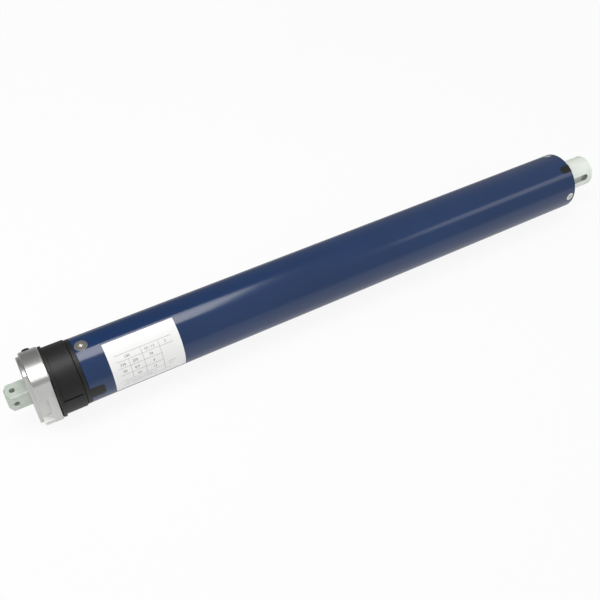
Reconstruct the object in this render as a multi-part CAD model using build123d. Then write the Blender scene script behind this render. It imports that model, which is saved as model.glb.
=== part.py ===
from build123d import *
import os
from math import atan, cos, hypot, pi, radians, sin, sqrt

# Tubular roller blind motor, 59 mm series.
# Each piece is built standing up: the motor's axis is local Z, local X is the back and local Y the top.
# It is then laid down, so that in the finished part the axis is X, the back +Y and the top +Z.
# The origin is on the axis, at the face of the head that the fixing bar stands out of.
# A turn is in degrees about the axis, from the back (0) over the top (90) to the front (180).

# Shared clearances and cutting allowances
overrun = 1.0              # how far a cutting shape runs past what it cuts
running_gap = 0.1          # radial, a turning piece on its journal
seat_gap = 0.05            # radial, a piece pressed or screwed into its seat
side_gap = 0.4             # axial, between pieces that turn past each other
tube_gap = 0.2             # radial, what slides into the tube
key_gap = 0.1              # round a key in its notch
edge_break = 0.4           # the small chamfer on turned edges

# Fixing bar
bar_side = 17.0
bar_corner = 1.2           # the rounding of its long edges
bar_reach = 18.7           # out of the head
bar_tip_radius = 7.5       # the turned chamfer on its end, at the tip
bar_tip_length = 3.7
bar_depth = 9.0            # the square socket in the head
bar_hole_radius = 2.5
bar_hole_from_head = 11.8
stud_radius = 6.0          # the bar's threaded tail
stud_length = 11.0
nut_across_corners = 20.8
nut_height = 5.5
washer_radius = 10.5
washer_thickness = 1.5

# Head casting
head_radius = 33.1
head_length = 16.0
boss_step = 2.9            # from the head's rim in to the boss
boss_length = 3.0
head_flat_cut = 9.0        # how deep the front flat is cut into the head
boss_flat = 13.9           # from the axis to the boss's flat
flat_turn = 171.0          # the way both flats face
flat_corner = 7.0          # the rounding between the head's rim and its flat
recess_length = 8.0        # the cable recess in the front flat, along the axis
recess_width = 23.5
recess_drop = 8.1          # its middle below the middle of the flat
recess_depth = 7.0
head_edge = 0.8
cavity_radius = 18.0
head_front_wall = 12.0

# Head screws and cable inlet
head_screw_circle = 21.2
head_screw_radius = 2.0
head_screw_head_radius = 3.5
head_screw_head_height = 3.0
head_screw_sink = 1.0
head_screw_bite = 14.0
head_screw_turns = (105.0, 0.0, -123.0)
inlet_radius = 3.2
inlet_wall = 1.2
inlet_flange_radius = 5.4
inlet_flange_height = 1.2
inlet_from_axis = 15.0
inlet_turn = 80.0

# Limit buttons
button_radius = 3.5
button_proud = 1.6         # above the head
button_station = 10.0
button_turns = {"upper": 43.0, "lower": -43.0}
button_flange_radius = 4.6
button_flange_height = 1.5
button_wall = 3.0          # the casting outside the button's flange
button_stem_radius = 2.0
button_stem_length = 3.0

# Crown ring
crown_front_gap = 0.4
crown_length = 21.6
crown_radius = 30.5
lip_height = 1.7
lip_length = 2.6
crown_groove_width = 1.7
crown_groove_depth = 0.8
crown_groove_end = 1.8     # from the groove to the ring's end
crown_groove_turns = (171.0, -9.0)
crown_teeth = 52
crown_module = 1.0
crown_teeth_length = 10.3
crown_wall = 3.2           # outside its journal

# Limit housing
collar_gap = 0.7           # between the crown ring and the collar
collar_length = 3.3
neck_radius = 24.4         # inside the crown's teeth
neck_bore_radius = 18.5
spigot_length = 60.0
spigot_wall = 2.0
partition_setback = 1.0    # from the collar's front to the partition
partition_thickness = 3.0
left_key_width = 11.5
left_key_length = 13.0
left_key_corner = 2.6
wire_hole_radius = 3.0

# Tube
tube_radius = 29.5
tube_wall = 1.5
tube_length = 542.3
tube_edge = 0.4

# Tube screws
left_screw_head_radius = 5.8
left_screw_radius = 2.5
left_screw_from_end = 6.9
left_screw_reach = 9.7     # inside the limit housing's bore
left_screw_turns = (90.0, -90.0)
left_screw_boss = 8.0
left_screw_boss_height = 5.0
cross_slot_length = 5.6
cross_slot_width = 1.2
cross_slot_depth = 1.8
screw_sink = 0.5           # below the tube's surface

right_screw_head_radius = 4.5
right_screw_radius = 2.0
right_screw_from_end = 5.9
right_screw_turns = (60.0, 180.0, -60.0)
right_socket_radius = 1.9
right_socket_depth = 1.6

# Label
label_start = 22.0         # from the tube's end
label_length = 64.5
label_turns = (105.0, 206.5)
label_thickness = 0.12

# Gear teeth
pressure_angle = 20.0
addendum_share = 0.8       # of the module
dedendum_share = 1.05
tooth_thinning = 0.06      # taken off each flank
flank_steps = 5

# Limit counter
counter_turn = 180.0       # the pinion's side of the axis
counter_pinion_teeth = 26
counter_pinion_face = 5.0
counter_small_teeth = 12
counter_large_teeth = 44
counter_rim_gap = 1.4      # from the layshaft's wheel to the limit housing's bore
counter_face = 3.0
counter_gap = 0.4
counter_shaft_radius = 1.25
counter_front_shaft_radius = 2.5
cam_face = 3.0
cam_step = 2.6             # from the cam wheels' tips down to the cams
cam_lift = 1.3             # of the lobe over its cam
cam_lobe_half_angle = 14.0
cam_lobe_turn = 200.0
cam_teeth_face = 2.4

# Limit switches and levers
switch_wall_gap = 0.25     # from the switches' corners to the limit housing's bore
switch_width = 20.0
switch_thickness = 6.4
switch_tip_gap = 2.1       # from the cam wheels' tips
switch_hole_radius = 1.2
switch_hole_spacing = 12.0
switch_hole_share = 0.667  # of the switch's depth, from its cam side
lever_thickness = 0.6
lever_width = 2.4
lever_gap = 0.4            # from the lever's nose to the cam
lever_nose_radius = 1.2
lever_pivot_from_middle = 9.2
lever_pivot_radius = 0.6
lever_eye_radius = 1.2
lever_overhang = 3.0       # past the nose
striker_from_middle = 3.0
striker_width = 1.2
striker_height = 1.4
striker_pocket_depth = 2.0
ear_thickness = 1.1

# End plate and terminal block
end_plate_gap = 0.7
end_plate_thickness = 3.0
terminal_width = 26.0
terminal_height = 12.0
terminal_depth = 11.0
terminal_count = 4
terminal_hole_radius = 2.0
terminal_hole_depth = 7.0

# Capacitor
capacitor_gap = 8.0        # behind the limit housing
capacitor_share = 0.45     # of the length that the capacitor and the stator share
capacitor_radius = 18.0
capacitor_edge = 1.5
holder_length = 8.0
holder_inset = 10.0
holder_lightening = 4.0    # the radius of the wire holes through a holder

# Brake
brake_gap = 10.0           # behind the capacitor
brake_base = 3.0
brake_wall = 2.2
pot_length = 20.0
pot_gap = 1.6              # radial, inside the brake's housing
pot_wall = 3.0
pot_hub_radius = 9.0
pot_floor = 4.0
coil_gap = 0.4
spring_radius = 5.5
spring_wire = 1.6
spring_pocket_gap = 0.3
armature_air_gap = 0.9
armature_thickness = 5.0
armature_inset = 0.2       # from the pot's rim
armature_bore = 3.0
guide_pin_inset = 1.8      # from the pot's rim
guide_pin_radius = 1.0
guide_pin_turns = (30.0, 150.0, 270.0)
disc_thickness = 4.0
disc_inset = 2.2           # inside the guide pins' circle
disc_hub_radius = 8.5
disc_hub_length = 6.0
counter_plate_thickness = 3.0
counter_plate_bore = 10.0
rear_shield_gap = 4.0

# Motor
shield_thickness = 12.0
bearing_radius = 13.0
bearing_width = 8.0
bearing_race = 2.2
bearing_ball_radius = 1.9
bearing_balls = 8
shaft_radius = 5.0
winding_gap = 3.0
winding_overhang = 14.0
winding_inner_radius = 17.2
stator_yoke = 3.2          # outside the slots
winding_edge = 3.0
stator_bore_radius = 16.0
slot_count = 12
slot_width = 4.6
slot_gap = 0.3
rotor_gap = 0.4
rotor_overhang = 2.0
protector_width = 10.0
protector_thickness = 2.0
protector_length = 8.0

# Gearbox
ring_wall = 2.75           # outside the ring gear's tooth gaps
sun_teeth = 12
planet_teeth = 18
planet_count = 3
first_planet_turn = 90.0
stage_lengths = (14.0, 20.0, 30.0)
carrier_thicknesses = (5.0, 6.0, 9.0)
carrier_rim = 6.5          # outside the planets' circle
planet_pin_radius = 2.6
sun_shaft_radius = 4.0
stage_gap = 0.5
gearbox_input_gap = 4.0

# Output shaft, its bearings and the end cap
output_radius = 16.0
output_reach = 39.2        # out of the tube
output_shoulder_gap = 0.7
journal_radius = 15.0
stub_across_corners = 18.0
stub_length = 22.0
keyway_width = 7.0
keyway_depth = 4.0
keyway_length = 31.0
keyway_turn = 166.0
groove_from_end = 5.6
groove_width = 1.7
groove_radius = 14.9
output_edge = 1.2
output_bearing_radius = 24.0
output_bearing_width = 12.0
output_bearing_race = 2.6
output_ball_radius = 2.8
output_balls = 12
bearing_spacing = 20.0
bearing_gap = 0.6          # axial, beside the inner bearing
seal_width = 3.6
seal_radius = 20.0
cap_length = 20.0
right_key_width = 8.2
right_key_length = 12.7
right_key_turn = 118.0

# Stations along the axis, worked out from the lengths above
head_back = boss_length + head_length
boss_radius = head_radius - boss_step
head_flat = head_radius - head_flat_cut
lip_radius = crown_radius + lip_height
crown_journal_radius = crown_radius - crown_wall
crown_start = head_back + crown_front_gap
crown_end = crown_start + crown_length
teeth_end = crown_start + crown_teeth_length
collar_start = crown_end + collar_gap
tube_start = collar_start + collar_length
tube_end = tube_start + tube_length
spigot_end = tube_start + spigot_length
tube_bore = tube_radius - tube_wall
spigot_radius = tube_bore - tube_gap
spigot_bore = spigot_radius - spigot_wall
left_screw_point = spigot_bore - left_screw_reach
partition_start = collar_start + partition_setback
partition_end = partition_start + partition_thickness

crown_pitch = crown_teeth * crown_module / 2
pinion_pitch = counter_pinion_teeth * crown_module / 2
counter_offset = crown_pitch - pinion_pitch
counter_tip = spigot_bore - counter_offset - counter_rim_gap
counter_module = counter_tip / (counter_large_teeth / 2 + addendum_share)
counter_centres = (counter_small_teeth + counter_large_teeth) * counter_module / 2
cam_offset = counter_centres - counter_offset
cam_radius = counter_tip - cam_step
cam_lobe_radius = cam_radius + cam_lift
switch_from_cam_axis = counter_tip + switch_tip_gap
switch_reach = sqrt((spigot_bore - switch_wall_gap) ** 2 - (switch_width / 2) ** 2)
switch_depth = switch_reach - cam_offset - switch_from_cam_axis
switch_hole_depth = switch_hole_share * switch_depth
pinion_start = teeth_end - counter_pinion_face - counter_gap
pinion_end = pinion_start + counter_pinion_face
idler_start = partition_end + counter_gap
idler_wheel_end = idler_start + counter_face
layshaft_start = idler_wheel_end + counter_gap
layshaft_wheel_end = layshaft_start + counter_face
idler_end = layshaft_wheel_end + counter_gap
cam_up_start = idler_end + counter_gap
cam_up_teeth = cam_up_start + cam_face
cam_up_end = cam_up_teeth + cam_teeth_face
cam_down_start = cam_up_end + counter_gap
cam_down_teeth_end = cam_down_start + cam_teeth_face
cam_down_end = cam_down_teeth_end + cam_face
layshaft_end = cam_down_teeth_end + counter_gap
end_plate_start = cam_down_end + switch_thickness / 2 - cam_face / 2 + end_plate_gap
end_plate_end = end_plate_start + end_plate_thickness

ring_teeth = sun_teeth + 2 * planet_teeth
gear_module = (spigot_radius - ring_wall) / (ring_teeth / 2 + dedendum_share)
sun_pitch = sun_teeth * gear_module / 2
planet_pitch = planet_teeth * gear_module / 2
planet_circle = sun_pitch + planet_pitch
carrier_radius = planet_circle + carrier_rim
output_end = tube_end + output_reach
output_shoulder = tube_end + output_shoulder_gap
seal_start = tube_end - seal_width
cap_start = tube_end - cap_length
cap_bore = journal_radius + output_bearing_race
right_screw_point = cap_bore + side_gap
outer_bearing_start = cap_start - output_bearing_width
inner_bearing_end = outer_bearing_start - bearing_spacing
inner_bearing_start = inner_bearing_end - output_bearing_width
output_start = inner_bearing_start - bearing_gap
ring_end = output_start
gearbox_length = gearbox_input_gap
for stage_length, carrier_thickness in zip(stage_lengths, carrier_thicknesses):
    gearbox_length += stage_length + stage_gap + carrier_thickness + stage_gap
front_shield_end = ring_end - gearbox_length
planet_starts = []
carrier_starts = []
station = front_shield_end + gearbox_input_gap
for stage_length, carrier_thickness in zip(stage_lengths, carrier_thicknesses):
    planet_starts.append(station)
    carrier_starts.append(station + stage_length + stage_gap)
    station += stage_length + stage_gap + carrier_thickness + stage_gap

front_shield_start = front_shield_end - shield_thickness
stator_end = front_shield_start - winding_gap - winding_overhang
winding_outer_radius = spigot_radius - stator_yoke
brake_bore = spigot_radius - brake_wall
pot_radius = brake_bore - pot_gap
armature_radius = pot_radius - armature_inset
guide_pin_circle = pot_radius - guide_pin_inset
disc_radius = guide_pin_circle - disc_inset
brake_length = brake_base + pot_length + armature_air_gap + armature_thickness + side_gap + disc_thickness
capacitor_start = spigot_end + capacitor_gap
shared_length = (stator_end - capacitor_start - brake_gap - brake_length - disc_hub_length
                 - rear_shield_gap - shield_thickness - winding_gap - winding_overhang)
capacitor_end = capacitor_start + capacitor_share * shared_length
brake_start = capacitor_end + brake_gap
pot_start = brake_start + brake_base
pot_end = pot_start + pot_length
armature_start = pot_end + armature_air_gap
armature_end = armature_start + armature_thickness
disc_start = armature_end + side_gap
disc_end = disc_start + disc_thickness
counter_plate_start = disc_end + side_gap
counter_plate_end = counter_plate_start + counter_plate_thickness
disc_hub_end = disc_end + disc_hub_length
rear_shield_start = disc_hub_end + rear_shield_gap
rear_shield_end = rear_shield_start + shield_thickness
stator_start = rear_shield_end + winding_gap + winding_overhang

GROUND = (Align.CENTER, Align.CENTER, Align.MIN)


def rod(radius, start, end, at=(0, 0)):
    """A round bar along the axis between two stations."""
    return Pos(*at, start) * Cylinder(radius, end - start, align=GROUND)


def sleeve(outer, inner, start, end, at=(0, 0)):
    """A round tube along the axis between two stations."""
    return rod(outer, start, end, at) - rod(inner, start - overrun, end + overrun, at)


def block(depth, height, start, end, at=(0, 0)):
    """A box along the axis between two stations."""
    return Pos(*at, start) * Box(depth, height, end - start, align=GROUND)


def cone(start_radius, end_radius, start, end):
    """A cone along the axis between two stations."""
    return Pos(0, 0, start) * Cone(start_radius, end_radius, end - start, align=GROUND)


def wedge(radius, angle, length):
    """A slice of a round bar that stands on the origin and starts at turn 0."""
    return Cylinder(radius, length, arc_size=angle, align=(Align.NONE, Align.NONE, Align.MIN))


def outward(shape, turn, at_station):
    """A shape that was built up local Z, pointed out of the axis at a turn and a station."""
    return Pos(0, 0, at_station) * Rot(0, 0, turn) * Rot(0, 90, 0) * shape


def polar(radius, turn):
    """The place at a distance from the axis and a turn about it."""
    return radius * cos(radians(turn)), radius * sin(radians(turn))


def chamfered_rod(radius, start, end, edge, at=(0, 0)):
    """A round bar with both its rims chamfered."""
    bar = rod(radius, start, end, at)
    return chamfer(bar.edges().filter_by(GeomType.CIRCLE), edge)


def involute(radius, base):
    """The angle an involute has turned through when it has grown from its base circle to a radius."""
    roll = sqrt(max((radius / base) ** 2 - 1, 0))
    return roll - atan(roll)


def tooth_outline(teeth, module, low, high, gain):
    """The points round a wheel's teeth, from one radius to another, each flank moved out by a gain."""
    pitch = teeth * module / 2
    base = pitch * cos(radians(pressure_angle))
    half = pi / 2 / teeth + gain / pitch + involute(pitch, base)
    flank = []
    for step in range(flank_steps + 1):
        radius = low + (high - low) * step / flank_steps
        flank.append((radius, half - involute(radius, base)))
    points = []
    for tooth in range(teeth):
        middle = 2 * pi * tooth / teeth
        sides = [(r, middle - a) for r, a in flank] + [(r, middle + a) for r, a in reversed(flank)]
        points += [(r * cos(a), r * sin(a)) for r, a in sides]
    return points


def toothed_bar(teeth, module, low, high, gain, start, end, at, turn):
    """A bar whose section is a ring of teeth."""
    outline = tooth_outline(teeth, module, low, high, gain)
    section = make_face(Polyline(*outline, close=True))
    return Pos(*at, start) * Rot(0, 0, turn) * extrude(section, end - start)


def spur_gear(teeth, module, start, end, at=(0, 0), turn=0):
    """A solid spur gear with a tooth at the given turn."""
    pitch = teeth * module / 2
    low, high = pitch - dedendum_share * module, pitch + addendum_share * module
    return toothed_bar(teeth, module, low, high, -tooth_thinning, start, end, at, turn)


def gear_hollow(teeth, module, start, end, turn=0):
    """What an internal gear leaves open, with a gap at the given turn."""
    pitch = teeth * module / 2
    low, high = pitch - addendum_share * module, pitch + dedendum_share * module
    return toothed_bar(teeth, module, low, high, tooth_thinning, start, end, (0, 0), turn)


def meshed_turn(turn, teeth, line, next_teeth):
    """The turn of a tooth on the next gear, which meshes outside a gear with a tooth at a turn."""
    return line + 180 + teeth / next_teeth * (line - turn) - 180 / next_teeth


def counter_place(offset):
    """A place on the line through the axis that the limit counter's gears stand on."""
    return polar(offset, counter_turn)


# The limit counter's two gear axes
pinion_at = counter_place(counter_offset)
cam_at = counter_place(-cam_offset)

# The turns that put the counter's gears in mesh, each small gear following its wheel
idler_turn = meshed_turn(counter_turn, counter_small_teeth, counter_turn - 180, counter_large_teeth)
layshaft_turn = meshed_turn(idler_turn, counter_small_teeth, counter_turn, counter_large_teeth)
cam_turn = meshed_turn(layshaft_turn, counter_small_teeth, counter_turn - 180, counter_large_teeth)


def flatted_disc(radius, flat, corner, edge, start, end):
    """A disc with a flat at the front, rounded corners beside it and chamfered rims."""
    section = Circle(radius) - Pos(-flat - radius, 0) * Rectangle(2 * radius, 2 * radius)
    section = fillet(section.vertices(), corner)
    disc = Pos(0, 0, start) * extrude(section, end - start)
    rims = disc.edges().group_by(Axis.Z)
    return turned_flat(chamfer(rims[0] + rims[-1], edge))


def turned_flat(shape):
    """A shape that was built for a flat that faces the front, turned to the way the flats face."""
    return Rot(0, 0, flat_turn - 180) * shape


def fixing_shaft():
    """The square bar, its turned tip, its cross holes and its threaded tail."""
    half_diagonal = hypot(bar_side, bar_side) / 2
    shank = bar_reach - bar_tip_length
    bar = block(bar_side, bar_side, -bar_reach, bar_depth)
    bar = fillet(bar.edges().filter_by(Axis.Z), bar_corner)
    tip = cone(bar_tip_radius, half_diagonal, -bar_reach, -shank)
    envelope = tip + rod(half_diagonal + overrun, -shank, bar_depth)
    bar = bar & envelope
    for turn in (0, 90):
        cross = Pos(0, 0, -bar_side) * Cylinder(bar_hole_radius, 2 * bar_side, align=GROUND)
        bar -= outward(cross, turn, -bar_hole_from_head)
    tail = rod(stud_radius, bar_depth - overrun, bar_depth + stud_length)
    return bar + tail


def bar_washer():
    """The washer under the fixing bar's nut."""
    start = head_front_wall
    return sleeve(washer_radius, stud_radius + seat_gap, start, start + washer_thickness)


def bar_nut():
    """The nut that pulls the fixing bar into its socket."""
    start = head_front_wall + washer_thickness
    section = RegularPolygon(nut_across_corners / 2, 6)
    nut = Pos(0, 0, start) * extrude(section, nut_height)
    return nut - rod(stud_radius + seat_gap, start - overrun, start + nut_height + overrun)


def head_casting():
    """The die-cast head: a stepped disc with flats at the front, a recess, sockets and holes."""
    main = flatted_disc(head_radius, head_flat, flat_corner, head_edge, boss_length, head_back)
    boss = flatted_disc(boss_radius, boss_flat, head_edge, edge_break, 0, boss_length + head_edge)
    recess_end = boss_length + recess_length
    recess = block(2 * recess_depth, recess_width, 0, recess_end, (-head_flat, -recess_drop))
    casting = main - turned_flat(recess) + boss
    casting -= rod(cavity_radius, head_front_wall, head_back + overrun)
    socket = bar_side + 2 * running_gap
    casting -= block(socket, socket, -overrun, bar_depth)
    casting -= rod(stud_radius + running_gap, 0, head_front_wall + overrun)
    for turn in head_screw_turns:
        at = polar(head_screw_circle, turn)
        casting -= rod(head_screw_radius + seat_gap, -overrun, head_back + overrun, at)
        counterbore = head_screw_sink + head_screw_head_height
        casting -= rod(head_screw_head_radius + running_gap, -overrun, counterbore, at)
    inlet_at = polar(inlet_from_axis, inlet_turn)
    casting -= rod(inlet_radius + inlet_wall, -overrun, head_front_wall + overrun, inlet_at)
    casting -= rod(inlet_flange_radius, -overrun, inlet_flange_height, inlet_at)
    for turn in button_turns.values():
        bore = rod(button_radius + running_gap, neck_bore_radius, head_radius + overrun)
        chamber = rod(button_flange_radius + running_gap, cavity_radius - overrun, head_radius - button_wall)
        casting -= outward(bore + chamber, turn, button_station)
    return casting


def head_screws():
    """The socket screws that hold the head to the limit housing."""
    screws = []
    top = head_screw_sink + head_screw_head_height
    for turn in head_screw_turns:
        at = polar(head_screw_circle, turn)
        screw = rod(head_screw_head_radius, head_screw_sink, top, at)
        screw += rod(head_screw_radius, head_screw_sink, head_back + head_screw_bite, at)
        socket = Pos(*at, 0) * extrude(RegularPolygon(head_screw_radius, 6), top - head_screw_sink)
        screws.append(screw - socket)
    return Compound(children=screws)


def cable_grommet():
    """The rubber sleeve that the mains cable enters through."""
    at = polar(inlet_from_axis, inlet_turn)
    sleeve_part = rod(inlet_radius + inlet_wall, 0, head_front_wall, at)
    flange = rod(inlet_flange_radius, 0, inlet_flange_height, at)
    return sleeve_part + flange - rod(inlet_radius, -overrun, head_front_wall + overrun, at)


def limit_button(turn):
    """A domed push button with the flange that keeps it in the head."""
    top = head_radius + button_proud
    flange_top = head_radius - button_wall - edge_break
    flange_bottom = flange_top - button_flange_height
    button = chamfered_rod(button_radius, flange_bottom, top, button_proud / 2)
    button += rod(button_flange_radius, flange_bottom, flange_top)
    button += rod(button_stem_radius, flange_bottom - button_stem_length, flange_top)
    return outward(button, turn, button_station)


def crown_ring():
    """The ring that the roller tube turns, with the inner teeth that drive the limit counter."""
    body = chamfered_rod(crown_radius, crown_start, crown_end, edge_break)
    lip = chamfered_rod(lip_radius, crown_start, crown_start + lip_length, edge_break / 2)
    ring = body + lip
    ring -= gear_hollow(crown_teeth, crown_module, crown_start - overrun, teeth_end, counter_turn)
    ring -= rod(crown_journal_radius + running_gap, teeth_end, crown_end + overrun)
    groove_start = crown_start + lip_length - edge_break
    for turn in crown_groove_turns:
        groove = block(2 * crown_groove_depth, crown_groove_width, groove_start, crown_end - crown_groove_end)
        ring -= Rot(0, 0, turn) * Pos(crown_radius, 0, 0) * groove
    return ring


def key_bar(width, length, corner, inner, outer, start):
    """A key that fills a notch in the tube: a bar bounded by two radii, with rounded far corners."""
    strip = sleeve(outer, inner, start, start + length)
    blank = Box(outer, width, length, align=(Align.MIN, Align.CENTER, Align.MIN))
    blank = fillet(blank.edges().filter_by(Axis.X).group_by(Axis.Z)[-1], corner)
    return strip & (Pos(0, 0, start) * blank)


def left_key(inner, outer, gap=0):
    """The key on the limit housing's collar, or with a gap the notch for it."""
    width, length = left_key_width + 2 * gap, left_key_length + gap
    bar = key_bar(width, length, left_key_corner + gap, inner, outer, tube_start)
    return Rot(0, 0, counter_turn) * bar


def right_key(inner, outer, gap=0):
    """The round-ended key on the end cap, standing towards the head, or with a gap its notch."""
    width, length = right_key_width + 2 * gap, right_key_length + gap
    bar = key_bar(width, length, width / 2 - key_gap, inner, outer, 0)
    return Pos(0, 0, tube_end) * Rot(0, 0, right_key_turn) * Rot(180, 0, 0) * bar


def tube_screw(head, shank, point):
    """A countersunk screw without its recess, flush with the tube, built up local Z."""
    top = tube_radius - screw_sink
    foot = top - (head - shank)
    return cone(shank, head, foot, top) + rod(shank, point, foot)


def screw_seat(head, shank, point, gap):
    """The hole of a countersunk screw, from outside the tube to past the screw's point."""
    top = tube_radius - screw_sink
    foot = top - (head - shank)
    seat = cone(shank + gap, head + gap, foot, top)
    seat += rod(head + gap, top, tube_radius + overrun)
    return seat + rod(shank + gap, point - overrun, foot + overrun)


def left_screw_seat():
    """The hole of a screw at the head end."""
    return screw_seat(left_screw_head_radius, left_screw_radius, left_screw_point, seat_gap)


def right_screw_seat():
    """The hole of a screw at the far end."""
    return screw_seat(right_screw_head_radius, right_screw_radius, right_screw_point, seat_gap)


def limit_housing():
    """The fixed chassis: neck, journal for the crown ring, collar with its key, and spigot."""
    neck = sleeve(neck_radius, neck_bore_radius, head_back, teeth_end + side_gap)
    journal = sleeve(crown_journal_radius, neck_bore_radius, teeth_end + side_gap, collar_start)
    collar = rod(tube_radius, collar_start, tube_start) + rod(spigot_radius, collar_start, spigot_end)
    collar -= rod(neck_bore_radius, 0, partition_start)
    collar -= rod(spigot_bore, partition_end, spigot_end + overrun)
    housing = neck + journal + collar + left_key(spigot_radius - spigot_wall / 2, tube_radius)
    for turn in left_screw_turns:
        inner = spigot_bore - left_screw_boss_height
        boss = block(left_screw_boss, left_screw_boss, inner, spigot_bore + spigot_wall / 2)
        housing += outward(boss, turn, tube_start + left_screw_from_end)
        housing -= outward(left_screw_seat(), turn, tube_start + left_screw_from_end)
    tip_radius = pinion_pitch + addendum_share * crown_module + side_gap
    housing -= rod(tip_radius, pinion_start - side_gap, pinion_end + side_gap, pinion_at)
    housing -= rod(counter_front_shaft_radius + running_gap, 0, partition_end + overrun, pinion_at)
    through = (partition_start - overrun, partition_end + overrun)
    housing -= rod(counter_shaft_radius + seat_gap, *through, cam_at)
    for turn in head_screw_turns:
        at = polar(head_screw_circle, turn)
        housing -= rod(head_screw_radius + seat_gap, 0, head_back + head_screw_bite + side_gap, at)
    wire_at = polar(inlet_from_axis, inlet_turn)
    return housing - rod(wire_hole_radius, *through, wire_at)


def counter_pinion():
    """The pinion that the crown ring turns, on the shaft with the counter's first small gear."""
    pinion = spur_gear(counter_pinion_teeth, crown_module, pinion_start, pinion_end, pinion_at, counter_turn)
    pinion += rod(counter_front_shaft_radius, pinion_start, partition_end + counter_gap / 2, pinion_at)
    small = spur_gear(counter_small_teeth, counter_module, partition_end + counter_gap / 2,
                      idler_wheel_end, pinion_at, counter_turn)
    tail = rod(counter_shaft_radius, idler_wheel_end - overrun, end_plate_end, pinion_at)
    return pinion + small + tail


def counter_idler():
    """The first wheel of the counter, with its small gear, running on the cam spindle."""
    wheel = spur_gear(counter_large_teeth, counter_module, idler_start, idler_wheel_end, cam_at, idler_turn)
    wheel += spur_gear(counter_small_teeth, counter_module, idler_start, idler_end, cam_at, idler_turn)
    return wheel - rod(counter_shaft_radius + running_gap, 0, spigot_end, cam_at)


def counter_layshaft():
    """The second wheel, running on the pinion's tail, with the small gear that turns both cams."""
    wheel = spur_gear(counter_large_teeth, counter_module, layshaft_start, layshaft_wheel_end,
                      pinion_at, layshaft_turn)
    wheel += spur_gear(counter_small_teeth, counter_module, layshaft_start, layshaft_end,
                       pinion_at, layshaft_turn)
    return wheel - rod(counter_shaft_radius + running_gap, 0, spigot_end, pinion_at)


def cam_disc(start, end, lobe_turn):
    """A cam: a plain disc with one lobe that trips its switch."""
    disc = rod(cam_radius, start, end, cam_at)
    sector = Pos(*cam_at, start) * Rot(0, 0, lobe_turn - cam_lobe_half_angle)
    return disc + sector * wedge(cam_lobe_radius, 2 * cam_lobe_half_angle, end - start)


def cam_wheel(teeth_start, teeth_end_at, cam_start, cam_end, lobe_turn):
    """A cam with its gear, running on the cam spindle."""
    wheel = spur_gear(counter_large_teeth, counter_module, teeth_start, teeth_end_at, cam_at, cam_turn)
    wheel += cam_disc(cam_start, cam_end, lobe_turn)
    return wheel - rod(counter_shaft_radius + running_gap, 0, spigot_end, cam_at)


def cam_spindle():
    """The fixed spindle that the idler and the cams run on."""
    return rod(counter_shaft_radius, partition_start, end_plate_end, cam_at)


def cam_up_middle():
    """The station of the middle of the first cam."""
    return cam_up_start + cam_face / 2


def cam_down_middle():
    """The station of the middle of the second cam."""
    return cam_down_teeth_end + cam_face / 2


def switch_block_at():
    """How far behind the motor's axis the limit switches start."""
    return cam_offset + switch_from_cam_axis


def lever_plane():
    """How far behind the motor's axis the levers' cam side lies."""
    return cam_offset + cam_radius + lever_gap + lever_nose_radius


def lever_pivot():
    """The place of the levers' pivots."""
    return lever_plane() + lever_thickness + lever_eye_radius / 2, -lever_pivot_from_middle


def limit_switch(middle):
    """One microswitch with the ears and pin that carry its lever, and its two tabs."""
    start, end = middle - switch_thickness / 2, middle + switch_thickness / 2
    inner = switch_block_at()
    body = block(switch_depth, switch_width, start, end, (inner + switch_depth / 2, 0))
    ear_reach = inner - lever_pivot()[0] + lever_eye_radius
    for ear_start in (start, end - ear_thickness):
        ear = block(ear_reach, 2 * lever_eye_radius, ear_start, ear_start + ear_thickness,
                    (inner - ear_reach / 2, lever_pivot()[1] + edge_break))
        body += ear
    body += rod(lever_pivot_radius, start, end, lever_pivot())
    pocket_width = striker_width + 4 * lever_gap
    pocket_at = (inner + striker_pocket_depth / 2 - overrun / 2, -striker_from_middle)
    body -= block(striker_pocket_depth + overrun, pocket_width, middle - lever_width / 2 - lever_gap,
                  middle + lever_width / 2 + lever_gap, pocket_at)
    for side in (-1, 1):
        at = (inner + switch_hole_depth, side * switch_hole_spacing / 2)
        body -= rod(switch_hole_radius + seat_gap, start - overrun, end + overrun, at)
    return body


def limit_switches():
    """Both microswitches."""
    return Compound(children=[limit_switch(cam_up_middle()), limit_switch(cam_down_middle())])


def switch_lever(middle):
    """A lever that rides over a cam and works its switch."""
    start, end = middle - lever_width / 2, middle + lever_width / 2
    plane = lever_plane()
    length = lever_pivot_from_middle + lever_overhang
    strip_at = (plane + lever_thickness / 2, lever_overhang - length / 2)
    lever = block(lever_thickness, length, start, end, strip_at)
    lever += rod(lever_nose_radius, start, end, (plane, 0))
    lever += rod(lever_eye_radius, start, end, lever_pivot())
    striker_at = (plane + lever_thickness / 2 + striker_height / 2, -striker_from_middle)
    lever += block(striker_height, striker_width, start, end, striker_at)
    return lever - rod(lever_pivot_radius + running_gap, start - overrun, end + overrun, lever_pivot())


def limit_end_plate():
    """The plate that closes the limit counter and carries its shafts and the switches' posts."""
    plate = rod(spigot_bore - running_gap, end_plate_start, end_plate_end)
    plate -= rod(counter_shaft_radius + running_gap, 0, spigot_end, pinion_at)
    plate -= rod(counter_shaft_radius + seat_gap, 0, spigot_end, cam_at)
    plate -= rod(wire_hole_radius, 0, spigot_end, polar(inlet_from_axis, inlet_turn))
    post_start = cam_up_middle() - switch_thickness / 2
    for side in (-1, 1):
        at = (switch_block_at() + switch_hole_depth, side * switch_hole_spacing / 2)
        plate += rod(switch_hole_radius, post_start, end_plate_end, at)
    return plate


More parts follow.
